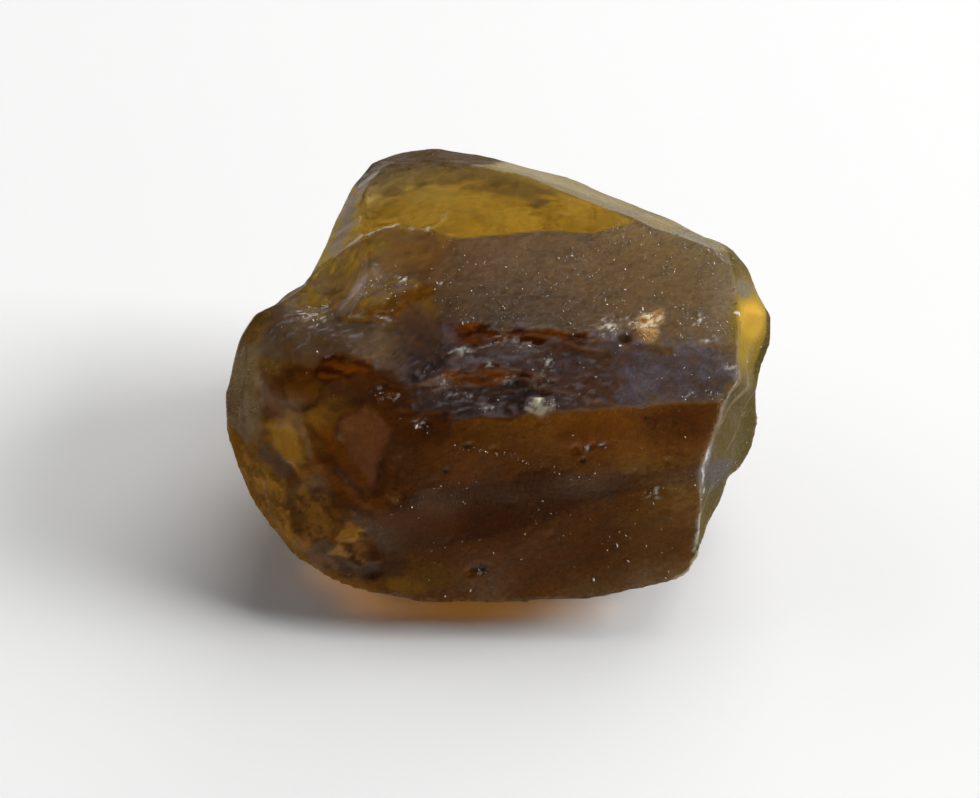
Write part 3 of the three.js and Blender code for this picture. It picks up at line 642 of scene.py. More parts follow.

# %% [markdown]
# ## The top
#
# The rear top is a clean break. It is clear, and looks yellow where the stone behind it is thin,
# helped by a painted amber glow. A dark band of rough skin follows its rim. On the right the rim
# has painted shade and then turns into a pale frosted strip, a painted reflection of the bright
# table behind. The table in front of it is frosted as if sanded. From its left end a bowl and a
# saddle lead down to the lobe. Each could have a material of its own, but then their borders would
# be hard, so each is only another layer of paint in the same four fields.

# %% Paint the top
RIM_BAND = [
    (-2.95, 7.3), (-2.7, 8.5), (-1.9, 9.1), (-0.9, 9.1), (0.3, 8.7), (-0.2, 8.3), (-0.93, 8.2),
    (-1.6, 8.2), (-2.15, 8.2), (-2.5, 7.95), (-2.72, 7.4),
]
# the pale strip is a painted reflection of the bright table behind
RIM_REFLECTION = [
    (-0.6, 8.9), (-0.66, 8.36), (0.3, 8.07), (1.2, 7.7), (2.1, 7.2), (4.3, 6.0), (4.2, 6.6),
    (2.0, 8.2),
]
RIM_SHADE = [
    (-0.3, 8.9), (-0.35, 8.2), (1.5, 7.2), (3.2, 6.2), (4.3, 5.6), (4.2, 6.6), (2.0, 8.0),
]
RIM_SMOKE = [(-2.5, 7.6), (-1.9, 8.0), (-1.1, 8.1), (-0.3, 7.95), (0.7, 7.5)]
faces_up = step(normals[:, 2], 0.3, 0.55)
top_zone = within(REAR_TOP, 0.04)
table_zone = within(TABLE)
# a painted amber glow: the veil stands in for light shining through the thin stone
amber_glow_veil = 0.08 + 0.04 * np.clip(swell + 2 * fine, -1, 1)

# the clear rear top, with a painted amber glow of light through the thin stone, and smoke under its
# rim
finish(top_zone, passes=(1, 1, 1), rough=0.10, dull=amber_glow_veil, colour=(243, 170, 0))
finish(top_zone * spot(-0.5, 7.7, 0.7, 2, -20), passes=(0.85, 0.75, 0.6), dull=0.1)
finish(top_zone * spot(1.0, 7.0, 0.9, 1.5, -25), dull=0.12)
finish(0.8 * top_zone * along(RIM_SMOKE, 0.6, 0.3), passes=(0.72, 0.6, 0.5), dull=0.3,
       colour=(92, 72, 42))
# the rim: painted shade and a pale strip of painted reflection on the right, dark on the left
finish(within(RIM_SHADE, 0.12, 0.05, faces_up), dull=0.75, colour=(120, 98, 42))
finish(within(RIM_REFLECTION, 0.16, 0.2, faces_up), dull=0.6, colour=(132, 116, 72))
finish(within(RIM_BAND, 0.25, 0.25), rough=0.4, dull=0.85, colour=UMBER)
finish(within(RIM_BAND, 0.1) * step(cloud(0.2, seed=18, detail=4), -0.1, 0.4), colour=(78, 63, 50))
# the slope on the left, with a grey streak
finish(within(LEFT_SLOPE, 0.1), passes=(1, 1, 1), dull=0.8, colour=(172, 140, 62))
finish(along([(-2.8, 7.4), (-2.85, 6.6), (-3.05, 5.9)], 0.16, 0.1), colour=(150, 132, 112))
# the table: clearer to the right, darker in the middle, with pores
finish(within(TABLE, 0.05, 0.04), passes=(0.42, 0.33, 0.30), rough=0.5, dull=0.12, colour=HAZE)
finish(spot(3.4, 4.9, 1.3), passes=(0.49, 0.41, 0.34))
finish(table_zone * spot(0.2, 4.3, 1.4, 1.6), passes=(0.35, 0.26, 0.25))
finish(table_zone * spot(2.9, 6.2, 1.0, 2, -20), passes=(0.62, 0.54, 0.3), dull=0.16, colour=HAZE)
pores = step(cloud(0.075, seed=29, detail=2), 0.1, 0.4)
finish(0.4 * within(TABLE, 0.05) * pores, passes=(0.26, 0.18, 0.17), dull=0.05)
# its left end, and one clear yellow place
finish(within(TABLE_LEFT, 0.15, 0.15), passes=(0.62, 0.46, 0.40), rough=0.4, dull=0.06,
       colour=HAZE)
finish(along([(-1.25, 5.1), (-1.05, 5.6), (-1.3, 6.1)], 0.25, 0.15), passes=(0.5, 0.35, 0.3))
finish(spot(-2.3, 5.85, 0.3, 2, 50), passes=(0.95, 0.85, 0.3), dull=0.03)
# the bowl with its yellow streaks, the saddle and the top of the lobe
finish(within(BOWL, 0.15, 0.2), passes=(0.62, 0.5, 0.36), rough=0.4, dull=0.18, colour=HAZE)
streaks = step(cloud(0.16, seed=11, long=5, turn=60, detail=3), -0.1, 0.35)
finish(within(BOWL, 0.1, 0.1) * streaks, passes=(0.9, 0.8, 0.3), dull=0.05)
finish(within(SADDLE, 0.2, 0.25), passes=(0.58, 0.48, 0.42), rough=0.45, dull=0.16, colour=HAZE)
finish(spot(-1.5, 3.9, 0.55, 1.5, -20), passes=(0.3, 0.2, 0.2), dull=0.14, colour=GREY)
finish(spot(-2.55, 3.5, 0.2, 2, 70), passes=(0.8, 0.75, 0.4))
finish(within(LOBE_TOP, 0.2, 0.2), passes=(0.34, 0.24, 0.20), rough=0.45, dull=0.12, colour=HAZE)
print("the clear rear top covers", int(top_zone.sum()), "points")

# %% [markdown]
# ## The front
#
# The bevel under the table is a smoky grey, and the band of small breaks beside it is dark. Below
# them lies the long front face. It is brown, finely lined along the grain of the crystal, and has a
# darker band across it, painted shade where the face dips. The lines come from a noise that is
# stretched to eight times its width.

# %% Paint the front
# the darker band is painted shade where the front face dips
SHADED_BAND = [
    (-2.03, -0.52), (-0.98, -0.3), (-0.22, -0.2), (0.7, 0.2), (2.1, 0.1), (3.56, 0.37),
    (3.45, -0.05), (2.3, -0.3), (1.5, -0.7), (0.0, -1.42), (-0.8, -1.7), (-1.9, -1.75),
]
# the bevel, with clots of grey
bevel_zone = within(BEVEL, 0.3, 0.4)
clots = step(cloud(0.3, seed=19, detail=5), -0.15, 0.5)
finish(bevel_zone, passes=(0.18, 0.11, 0.08), rough=0.5, dull=0.16, colour=(158, 160, 178))
finish(bevel_zone * clots, dull=0.32)
finish(bevel_zone * spot(2.35, 2.5, 0.35), dull=0.32)
# the band of small breaks
finish(within(BAND, 0.2, 0.3), passes=(0.20, 0.12, 0.08), rough=0.35, dull=0.09,
       colour=(165, 148, 150))
rubble = step(cloud(0.12, seed=16, long=1.6, detail=4), 0.1, 0.45)
finish(within(BAND, 0.1, 0.3) * rubble, dull=0.35)
# the front: fine lines, then warmer places of painted glow, and darker places
front_zone = within(FRONT, 0.06, 0.1)
soft_front = within(FRONT, 0.1)
striae = cloud(0.12, seed=17, long=8, turn=38, detail=3)
lined = 0.5 + 0.15 * np.clip(2 * striae + swell, -1, 1)
finish(front_zone, passes=(1, 0.8, 0.4), rough=0.28, dull=lined, colour=BROWN)
through *= 1 - 0.3 * (front_zone * step(-striae, 0, 0.4))[:, None]
finish(soft_front * spot(1.5, 1.0, 1.1, flat=1.5), passes=(0.72, 0.38, 0.15))
# warm veils: a painted glow of light coming out of the stone
finish(soft_front * spot(1.2, 1.1, 1.6, flat=2), dull=0.55, colour=(122, 68, 22))
finish(soft_front * spot(-0.5, 0.9, 0.8, flat=1.5, turn=40), dull=0.5, colour=(128, 74, 26))
finish(soft_front * spot(3.4, 1.5, 1.3), passes=(0.36, 0.14, 0.05))
finish(soft_front * spot(3.3, -1.5, 1.3), passes=(0.45, 0.26, 0.1))
finish(soft_front * spot(-1.2, -2.5, 0.6, 2), passes=(1, 0.85, 0.5), dull=0.45,
       colour=(124, 82, 22))
# the side of the lobe and the lower left, as a ground for their own cells
finish(within(LOBE_SIDE, 0.2, 0.2), passes=(0.32, 0.17, 0.08), rough=0.35, dull=0.2, colour=BROWN)
finish(within(LOWER_LEFT, 0.15, 0.15), passes=(0.85, 0.65, 0.25), rough=0.3, dull=0.12,
       colour=BROWN)
silvery = step(cloud(0.12, seed=25, long=6, turn=85, detail=3), -0.2, 0.4)
silver_rim = along([(-4.6, 3.2), (-4.72, 2.2), (-4.55, 1.2)], 0.4, 0.1)
finish(silver_rim, passes=(0.55, 0.48, 0.4), dull=0.27 + 0.3 * silvery, colour=(178, 156, 124))
# the darker band across the front, painted shade where the face dips, and two darker spots
finish(0.9 * within(SHADED_BAND, 0.14, 0.1), passes=(0.72, 0.45, 0.35), dull=0.55,
       colour=(76, 44, 24))
finish(spot(-1.2, -1.1, 0.5), dull=0.5, colour=(106, 64, 34))
finish(front_zone * spot(3.0, 1.35, 0.45, 1.5), passes=(0.5, 0.25, 0.15), dull=0.5,
       colour=(62, 36, 24))
print("the front covers", int(front_zone.sum()), "points")

# %% [markdown]
# ## Glows and crumbs
#
# In a few places light comes back out of the stone as a deep orange. The cracks inside that do this
# can't be seen well enough to build, so the glow is painted: a dark base, with embers over it. The
# chips around are grey, the small tooth is nearly white, and the crust is a nest of crumbs of
# another mineral.

# %% Paint the band of breaks
GLOWS = {  # outline of a place where the inside shines out orange
    "upper_left": [
        (-1.05, 3.75), (-0.5, 3.92), (-0.1, 3.9), (-0.1, 3.5), (-0.65, 3.38), (-1.0, 3.42),
    ],
    "upper_right": [
        (-0.1, 3.68), (0.7, 3.72), (1.5, 3.62), (1.5, 3.35), (0.7, 3.42), (-0.1, 3.45),
    ],
    "slot": [(-1.0, 2.67), (-0.4, 2.82), (0.5, 2.75), (0.5, 2.4), (-0.4, 2.4), (-1.0, 2.45)],
    "lobe": [(-3.5, 2.75), (-3.0, 2.95), (-2.3, 3.05), (-2.45, 2.55), (-3.1, 2.4), (-3.45, 2.45)],
}
# a warm shoulder beside the saddle
warm_shoulder = along([(-2.3, 4.2), (-1.9, 4.35), (-1.3, 4.75)], 0.25, 0.1)
finish(warm_shoulder, passes=(0.55, 0.36, 0.16), dull=0.25, colour=(104, 62, 22))
# the glows
embers = step(cloud(0.2, seed=15, long=2.5, detail=4), -0.3, 0.4)
for outline in GLOWS.values():
    finish(within(outline, 0.14, 0.2), passes=(0.26, 0.08, 0.01), rough=0.3, dull=0.7,
           colour=(60, 25, 1))
    finish(within(outline, 0.1, 0.15) * embers, passes=(0.4, 0.15, 0.02), rough=0.3, dull=0.65,
           colour=(134, 70, 4))
# the chips between them
finish(within(CHIPS["lens"][0], 0.05, 0.1), passes=(0.2, 0.15, 0.15), dull=0.3, colour=GREY)
finish(within(CHIPS["plate"][0], 0.05, 0.1), passes=(0.2, 0.15, 0.15), dull=0.25, colour=GREY)
finish(within(CHIPS["knob"][0], 0.1, 0.15), passes=(0.15, 0.08, 0.1), dull=0.15, colour=BLUISH)
finish(within(CHIPS["tooth"][0], 0.03, 0.03), dull=0.85, colour=(235, 228, 195))
# the crust with a painted highlight on its crumbs, the pit beside it with painted shade, and a few
# crumbs
crumbs = cloud(0.12, seed=20, detail=5)
crust_zone = within(CHIPS["crust"][0], 0.08, 0.15)
finish(crust_zone, dull=0.85, colour=(168, 124, 72))
finish(crust_zone * spot(2.72, 3.98, 0.24) * step(crumbs, -0.2, 0.3), colour=(222, 204, 164))
finish(crust_zone * step(-crumbs, 0.1, 0.5), dull=0.8, colour=(140, 94, 56))
finish(within(CHIPS["tooth"][0], 0.06, 0.1) * step(-crumbs, 0.1, 0.3), dull=0.5, colour=GREY)
finish(spot(2.2, 3.5, 0.14), passes=(0.3, 0.12, 0.05), dull=0.6, colour=(75, 32, 8))
finish(spot(1.91, 3.8, 0.2, 2) * step(crumbs, -0.1, 0.2), dull=0.6, colour=(200, 180, 140))
print("painted", len(GLOWS), "glows")

# %% [markdown]
# ## The lobe
#
# The lobe is worn rounder than the rest. It has a faint disc in its side, where a small shell has
# lifted, and fine scratches on its top. Both are too shallow to show as relief, so they are paint.

# %% Paint the lobe
ELBOW = [(-2.4, 2.1), (-1.6, 1.7), (-0.8, 1.6), (-0.9, 1.1), (-1.7, 0.7), (-2.1, 1.3)]
DISC = [
    (-3.9, 2.2), (-3.75, 2.6), (-3.4, 2.7), (-3.15, 2.4), (-3.2, 2.0), (-3.5, 1.75), (-3.8, 1.85),
]
# the disc and the scratches
scratches = step(cloud(0.08, seed=27, long=9, turn=25, detail=3), 0.3, 0.5)
finish(within(DISC, 0.1, 0.08), passes=(0.5, 0.28, 0.06), dull=0.2, colour=(85, 46, 8))
finish(along(DISC + DISC[:1], 0.07, 0.2), passes=(0.3, 0.18, 0.06), dull=0.3, colour=(42, 25, 10))
finish(within(LOBE_TOP, 0.1) * scratches, dull=0.35, colour=GREY)
# darker places, and the elbow under the lobe
finish(spot(-1.25, 3.5, 0.4), passes=(0.26, 0.18, 0.2), dull=0.12, colour=GREY)
finish(within(ELBOW, 0.15, 0.15), passes=(0.6, 0.35, 0.12), rough=0.3, dull=0.42,
       colour=(98, 53, 20))
finish(spot(-1.3, 1.32, 0.09), dull=0.7, colour=(30, 18, 10))
finish(spot(-2.55, 1.95, 0.5, 2.5, 22), passes=(0.3, 0.18, 0.12), dull=0.4, colour=(72, 44, 32))
print("the veil is now", veil.mean().round(2), "on average")

# %% [markdown]
# ## The lower left
#
# Here the stone is thin and full of cracks. They part it into flakes, and each flake sends light
# back in its own shade of amber, tan or pink; that light is painted, as veils of those colours. The
# flakes are outlines, the grain in them is noise stretched along the cracks, and the cracks are
# wide
# faint lines: a narrow dark line would look drawn.

# %% Paint the lower left
AMBER_FACE = [
    (-4.9, 0.9), (-4.1, 0.2), (-3.75, -0.2), (-3.7, -1.0), (-3.4, -1.7), (-3.9, -1.8),
    (-4.7, -0.6),
]
ORANGE_WEDGE = [
    (-3.45, 1.35), (-2.95, 1.35), (-2.65, 0.7), (-2.4, -0.4), (-2.7, -0.6), (-3.15, 0.1),
]
FAN = [(-3.8, 0.35), (-3.4, 0.3), (-3.0, -0.5), (-3.0, -1.5), (-3.4, -1.6), (-3.75, -0.6)]
TONGUE = [(-4.4, 1.0), (-4.05, 0.8), (-3.75, 0.3), (-3.75, -0.1), (-4.0, 0.05), (-4.35, 0.6)]
PURPLE_FOOT = [
    (-3.1, -1.7), (-2.6, -1.7), (-1.9, -1.9), (-1.8, -2.5), (-2.3, -2.75), (-3.0, -2.5),
]
BRIGHT_CHIPS = [
    [(-2.98, -1.62), (-2.72, -1.12), (-2.4, -1.35), (-2.62, -1.62)],
    [(-3.1, -1.95), (-2.9, -1.65), (-2.75, -2.0)],
]
CRACKS = [
    [(-3.45, 1.3), (-3.05, 0.4), (-2.45, -0.45)], [(-3.0, 1.6), (-2.55, 0.6), (-2.2, -0.3)],
    [(-1.98, 1.1), (-2.05, 0.4), (-2.2, -0.3)], [(-3.26, -0.1), (-2.9, -0.6), (-2.45, -0.85)],
    [(-3.7, 0.0), (-3.75, -0.7), (-3.6, -1.3)],
    [(-3.3, -1.7), (-2.9, -2.1), (-2.3, -2.3)], [(-2.4, -1.0), (-2.1, -1.5), (-2.2, -2.0)],
]
HEM = [(-5.0, 1.1), (-4.9, 0.2), (-4.55, -0.9), (-3.95, -1.9), (-3.25, -2.6), (-2.4, -3.05)]
threads = step(cloud(0.09, seed=12, long=7, turn=-62, detail=4), -0.1, 0.35)
slivers = step(cloud(0.16, seed=21, long=3, turn=-35, detail=4), 0.05, 0.3)

# the flakes, the first ones under the later ones
finish(within(CHIPS["tan_flake"][0], 0.12, 0.15), passes=(1, 0.95, 0.4), dull=0.5, colour=TAN)
finish(within(CHIPS["pink_flake"][0], 0.1, 0.12), passes=(0.8, 0.55, 0.35), dull=0.45,
       colour=(152, 96, 64))
finish(within(AMBER_FACE, 0.15, 0.15), passes=(1, 0.8, 0.3), dull=0.8, colour=(214, 144, 50))
finish(within(FAN, 0.15, 0.15), passes=(0.95, 0.8, 0.35), dull=0.5, colour=(196, 134, 54))
finish(within(AMBER_FACE, 0.15, 0.1) * threads, dull=0.35, colour=(110, 68, 22))
finish(within(FAN, 0.15, 0.1) * threads, passes=(0.6, 0.42, 0.25), dull=0.3, colour=(100, 62, 30))
finish(within(ORANGE_WEDGE, 0.12, 0.15), passes=(0.75, 0.42, 0.12), dull=0.4, colour=(138, 76, 14))
finish(within(TONGUE, 0.08, 0.1), passes=(0.5, 0.4, 0.35), dull=0.4, colour=(130, 105, 88))
finish(within(PURPLE_FOOT, 0.2, 0.2), passes=(0.5, 0.3, 0.18), dull=0.75, colour=(96, 60, 36))
finish(within(LOWER_LEFT, 0.2) * (1 - step(page[:, 1], -0.6, 0.2)) * slivers, dull=0.35,
       colour=(190, 130, 55))
# the cracks between the flakes, and the flakes that lie over them
finish(spot(-2.1, -1.3, 0.5), dull=0.75, colour=(98, 61, 34))
for path in CRACKS:
    finish(0.5 * along(path, 0.2, 0.12), passes=(0.5, 0.32, 0.18), dull=0.3, colour=(70, 42, 18))
finish(0.55 * within(CHIPS["pink_flake"][0], 0.06, 0.08), dull=0.5, colour=(150, 92, 60))
for outline in BRIGHT_CHIPS:
    finish(within(outline, 0.04, 0.05), passes=(1, 1, 0.5), dull=0.5, colour=(225, 155, 60))
finish(spot(-1.7, -2.75, 0.35, 2, -10), passes=(1, 0.9, 0.4), dull=0.5, colour=(165, 112, 30))
# the amber hem along the foot, a painted glow of light through the thin edge
finish(along(HEM, 0.35, 0.1), passes=(1, 0.75, 0.1), dull=0.8, colour=(150, 96, 10))
print("painted", len(CRACKS), "cracks and", len(BRIGHT_CHIPS), "bright chips")

# %% [markdown]
# ## The right break
#
# This face is frosted olive and seen almost from its edge. It has one yellow place, a painted glow
# where light passes right through the corner behind it, and two greyer ones.

# %% Paint the right break
RIGHT_BREAK = [
    (4.15, 6.0), (4.25, 4.2), (4.15, 2.4), (3.85, 1.0), (3.6, -0.5), (3.5, -1.9), (4.2, -1.9),
    (5.2, 0.5), (5.3, 4.3), (4.9, 6.0),
]
finish(within(RIGHT_BREAK, 0.05), passes=(1, 1, 0.6), rough=0.4, dull=0.9, colour=OLIVE)
finish(within(RIGHT_BREAK, 0.05) * step(cloud(0.4, seed=22, detail=5), -0.2, 0.6),
       colour=(80, 68, 42))
# the yellow place: a painted glow of light through the corner behind
finish(spot(4.52, 3.85, 0.5, 0.5), dull=0.85, colour=(130, 106, 28))
finish(spot(4.55, 4.0, 0.26, 0.6), dull=0.9, colour=(184, 144, 40))
finish(within(RIGHT_BREAK) * spot(4.35, 4.8, 0.22), dull=0.85, colour=(100, 90, 70))
finish(spot(4.1, 0.0, 0.4, 0.6, 80), dull=0.85, colour=(72, 66, 60))
print("the right break has", len(RIGHT_BREAK), "corners")

# %% [markdown]
# ## Thin edges
#
# Where the surface turns away, the way through the crystal is short, and the rim shows as a thin
# olive line of light coming through; that line is a painted glow. The line is found from the
# normals: facing is 1 on a face that looks straight at the page and 0 on one that is seen from its
# edge.

# %% Paint the thin edges
facing = (normals[:, 2] - normals[:, 1]) / math.sqrt(2)
RIGHT_OUTLINE = [
    (4.6, 5.3), (4.93, 4.4), (4.97, 3.7), (4.74, 2.8), (4.68, 1.5), (4.6, 0.7), (4.3, 0.1),
    (4.1, -0.3), (3.8, -1.0), (3.6, -1.8),
]
plain_rim = (1 - within(RIM_REFLECTION, 0.12)) * (1 - within(RIGHT_BREAK, 0.05))
nearly_edge_on = step(facing, -0.02, 0.06) * (1 - step(facing, 0.12, 0.28))
# a painted olive glow along the thin edges
thin_edge_glow = nearly_edge_on * step(points[:, 2], 0.3, 0.6) * plain_rim
finish(along(RIGHT_OUTLINE, 0.1), dull=0.9, colour=(74, 60, 18))
finish(thin_edge_glow, dull=0.5, colour=(86, 74, 26))
print("the thin edges cover", int(thin_edge_glow.sum()), "points")

# %% [markdown]
# ## Painted highlights, shaded pits and glints
#
# Sharp edges catch the light, so the lips get a thin broken white line of painted highlight, and
# the sharp right edge of the front too. Pits get painted shade, and the brightest glints are
# painted white. Last come soft smudges over all but the clear rear top, and a fine grain in the
# veil and in the light that passes, because no real break is even.

# %% Paint highlights, pit shade and glints
EDGE = [
    (4.19, 2.45), (3.96, 1.9), (3.88, 1.39), (3.8, 0.96), (3.62, 0.29), (3.64, -0.56),
    (3.5, -1.86),
]
# painted highlights along the lips
finish(along(LIPS["hook"][0], 0.045, 0.1), dull=0.22, colour=(205, 178, 120))
for name in ("crest", "ridge", "rim", "shelf"):
    finish(along(LIPS[name][0], 0.045, 0.1), dull=0.2 + 0.3 * np.clip(3 * fine, -1, 1),
           colour=WHITE)
# painted sheen in silky streaks in the bowl, and painted glints on crumbs beside it
silky_sheen = 0.27 + 0.24 * np.clip(2.5 * cloud(0.08, seed=23, long=6, turn=62, detail=3), -1, 1)
finish(spot(-2.6, 4.75, 0.5, 4.5, 62), dull=silky_sheen, colour=WHITE)
finish(spot(-3.3, 4.1, 0.2, 2) * step(crumbs, -0.1, 0.2), dull=0.4, colour=WHITE)
finish(spot(-3.24, 5.03, 0.15, 2.5, 60) * step(crumbs, -0.1, 0.2), dull=0.4, colour=WHITE)
# painted highlights along the sharp edges of the front
finish(along([(1.9, -3.2), (3.0, -2.75), (3.45, -2.3), (3.6, -1.9)], 0.05, 0.05), dull=0.35,
       colour=GREENISH)
edge_highlight = along(EDGE, 0.04, 0.05) * step(facing, 0.25, 0.45)
finish(edge_highlight * (0.5 + 0.5 * step(page[:, 1], -1.5, 0.5)),
       dull=0.25 + 0.2 * np.clip(3 * fine, -1, 1), colour=WHITE)
# painted shade in the pits, and painted glints
for x, height, radius, depth in PITS:
    finish(spot(x, height, radius), passes=(0.35, 0.25, 0.2), dull=0.6, colour=(35, 22, 12))
glints = step(cloud(0.085, seed=28, detail=3), 0.15, 0.35)
for x, height, radius in PAINTED_GLINTS:
    finish(spot(x, height, 1.2 * radius) * glints, dull=0.85, colour=(225, 218, 205))
# smudges and grain
smudges = step(cloud(0.4, seed=13, detail=4), 0.1, 0.7) * (1 - top_zone)
through *= 1 - 0.35 * smudges[:, None]
veil *= 1 + 0.4 * np.clip(3 * cloud(0.09, seed=26, detail=3), -1, 1) * (1 - veil)
uneven = np.clip(cloud(0.15, seed=14, detail=3), -1, 1)[:, None]
through *= 1 + (0.3 - 0.2 * top_zone[:, None]) * uneven
np.clip(through, 0, 1, out=through)
np.clip(veil, 0, 1, out=veil)
print("light passed on average:", through.mean(axis=0).round(2))

# %% [markdown]
# ## The stone as a piece
#
# The arrays become a mesh again. The four fields go along as attributes of its points, which a
# material can read by name. The two colours are stored as plain vectors, because Blender may change
# the numbers of a colour attribute, but never those of a vector.

# %% Stone piece
mesh = mesh_of("garnet_stone", points, triangles)
mesh.shade_smooth()
for name, field in (("frost", frost), ("veil", veil)):
    mesh.attributes.new(name, "FLOAT", "POINT").data.foreach_set("value", field.astype(np.float32))
for name, field in (("veil_colour", veil_colour), ("tint", through**2)):
    stored = mesh.attributes.new(name, "FLOAT_VECTOR", "POINT")
    stored.data.foreach_set("vector", field.astype(np.float32).ravel())
stone = bpy.data.objects.new("garnet_stone", mesh)
bpy.context.scene.collection.objects.link(stone)
print("the stone has", len(mesh.polygons), "faces and", len(mesh.attributes), "attributes")

# %% [markdown]
# ## Shader sums in Python
#
# A material's nodes are easier to read as sums. This small class wraps a socket, so that adding or
# multiplying two of them adds the Math node for it.

# %% Shader helper
class Socket:
    """A shader value that takes part in Python sums."""

    def __init__(self, tree, socket):
        self.tree = tree
        self.socket = socket

    def math(self, operation, *values):
        return node(self.tree, "ShaderNodeMath", {"operation": operation}, dict(enumerate(values)))

    def __add__(self, other):
        return self.math("ADD", self, other)

    def __sub__(self, other):
        return self.math("SUBTRACT", self, other)

    def __rsub__(self, other):
        return self.math("SUBTRACT", other, self)

    def __mul__(self, other):
        return self.math("MULTIPLY", self, other)

    __radd__ = __add__
    __rmul__ = __mul__


def node(tree, kind, settings=None, inputs=None, output=0):
    """A node with its settings and inputs, as the socket of one of its outputs, if it has any."""
    made = tree.nodes.new(kind)
    for name, value in (settings or {}).items():
        setattr(made, name, value)
    for name, value in (inputs or {}).items():
        if isinstance(value, Socket):
            tree.links.new(value.socket, made.inputs[name])
        else:
            made.inputs[name].default_value = value
    return Socket(tree, made.outputs[output]) if made.outputs else None


# %% [markdown]
# ## Garnet
#
# The crystal passes light, bends it strongly and soaks up its blue and green on the way, more the
# longer the way is: thin edges look yellow, and the thick middle is a deep brown. That is plain
# transmission, an index of refraction and an absorption. The veil is a rough dull surface mixed
# in. Small noise in both, and a fine bump, stand for the grain of the breaks.

# %% Material
GARNET_IOR = 1.76
WARM_GLOSS = (0.9, 0.72, 0.5, 1)  # reflections in this garnet are a little amber
PEEL_SCALE = 22000  # noise swells per metre, from fine to coarse
GRAIN_SCALE = 9000
MOTTLE_SCALE = 2200
SOAK_COLOUR = (0.76, 0.61, 0.05, 1)
SOAK_DENSITY = 800  # per metre

paint = bpy.data.materials.new("garnet_crystal")
paint.use_nodes = True
tree = paint.node_tree
tree.nodes.clear()
place = node(tree, "ShaderNodeTexCoord", output="Object")
frost_read = node(tree, "ShaderNodeAttribute", {"attribute_name": "frost"}, output="Fac")
veil_read = node(tree, "ShaderNodeAttribute", {"attribute_name": "veil"}, output="Fac")
veil_hue = node(tree, "ShaderNodeAttribute", {"attribute_name": "veil_colour"}, output="Color")
tint_read = node(tree, "ShaderNodeAttribute", {"attribute_name": "tint"}, output="Color")
peel = node(tree, "ShaderNodeTexNoise", inputs={"Vector": place, "Scale": PEEL_SCALE, "Detail": 2})
grain = node(
    tree, "ShaderNodeTexNoise", inputs={"Vector": place, "Scale": GRAIN_SCALE, "Detail": 3}
)
mottle = node(
    tree, "ShaderNodeTexNoise", inputs={"Vector": place, "Scale": MOTTLE_SCALE, "Detail": 4}
)
bump = node(
    tree, "ShaderNodeBump",
    inputs={
        "Height": (peel + grain) * frost_read + 0.3 * mottle,
        "Strength": 0.25,
        "Distance": 0.00003,
    },
)
crystal = node(
    tree, "ShaderNodeBsdfPrincipled",
    inputs={
        "Base Color": tint_read,
        "Roughness": frost_read,
        "Transmission Weight": 1,
        "IOR": GARNET_IOR,
        "Specular Tint": WARM_GLOSS,
        "Normal": bump,
    },
)
dull = node(
    tree, "ShaderNodeBsdfPrincipled",
    inputs={"Base Color": veil_hue, "Roughness": 0.8, "Specular IOR Level": 0.05},
)
# the veil thins and thickens from grain to grain, except where it is whole or absent
speckle = 0.7 * mottle + 2.6 * peel - 1.65
uneven_veil = veil_read * (1 + (1 - veil_read) * speckle)
body = node(tree, "ShaderNodeMixShader", inputs={0: uneven_veil, 1: crystal, 2: dull})
soak = node(
    tree, "ShaderNodeVolumeAbsorption", inputs={"Color": SOAK_COLOUR, "Density": SOAK_DENSITY}
)
node(tree, "ShaderNodeOutputMaterial", inputs={"Surface": body, "Volume": soak})
stone.data.materials.append(paint)
print("garnet material has", len(tree.nodes), "nodes")

# %% [markdown]
# ## Specks
#
# The breaks sparkle with tiny bruises, each a crumb of crushed crystal. There are far too many to
# place by hand, so Geometry Nodes strews them: points are scattered over a copy of the skin, as
# densely as a painted attribute says, and on each stands a little ball of a few faces, squashed and
# turned at random.

# %% Speck bed
def bed_density():
    """How thickly the specks lie, from 0 to 1."""
    level = 0.006 * faces_page
    lay(level, 0.32, within(TABLE, 0.1))
    lay(level, 0.01, within(REAR_TOP, 0.02))
    lay(level, 0.08, within(BEVEL, 0.1))
    lay(level, 0.16, within(BAND, 0.2) * step(fine, -0.1, 0.3))
    lay(level, 0.045, within(FRONT, 0.1) * (1 - step(page[:, 1], 0.2, 0.6) * 0.5))
    lay(level, 0.05, within(LOBE_TOP, 0.1))
    lay(level, 0.35, within(BOWL, 0.1))
    lay(level, 0.06, within(RIGHT_BREAK, 0.05))
    # specks lie in drifts, and along a few scratches
    level *= 0.25 + 1.5 * step(cloud(0.45, seed=24, detail=3), -0.05, 0.45)
    lay(level, 0.7, along([(-0.9, 6.15), (0.0, 6.2), (0.4, 6.3), (0.95, 6.25)], 0.1))
    lay(level, 0.8, along([(-0.8, 0.86), (-0.09, 0.65), (0.56, 0.42), (1.06, 0.22)], 0.09, 0.05))
    lay(level, 0.35, along([(-1.55, -0.7), (-1.2, -0.3), (-0.4, -0.1)], 0.12, 0.1))
    lay(level, 1.0, within(CHIPS["crust"][0], 0.05))
    for x, height, radius in PAINTED_GLINTS:
        lay(level, 1.2, spot(x, height, radius))
    return level * faces_page * step(cad_box[1][2] / MM - points[:, 2], 0.05, 0.1)


bed_level = bed_density().astype(np.float32)
bed_mesh = stone.data.copy()
bed_mesh.attributes.new("bed", "FLOAT", "POINT").data.foreach_set("value", bed_level)
bed = bpy.data.objects.new("garnet_specks", bed_mesh)
bpy.context.scene.collection.objects.link(bed)
print("specks may lie on", int((bed_level > 0).sum()), "points")

# %% [markdown]
# ## Crushed crystal
#
# A crumb of crushed crystal is too small to see into. It is a plain shiny grain, amber or nearly
# white, and a noise decides which.

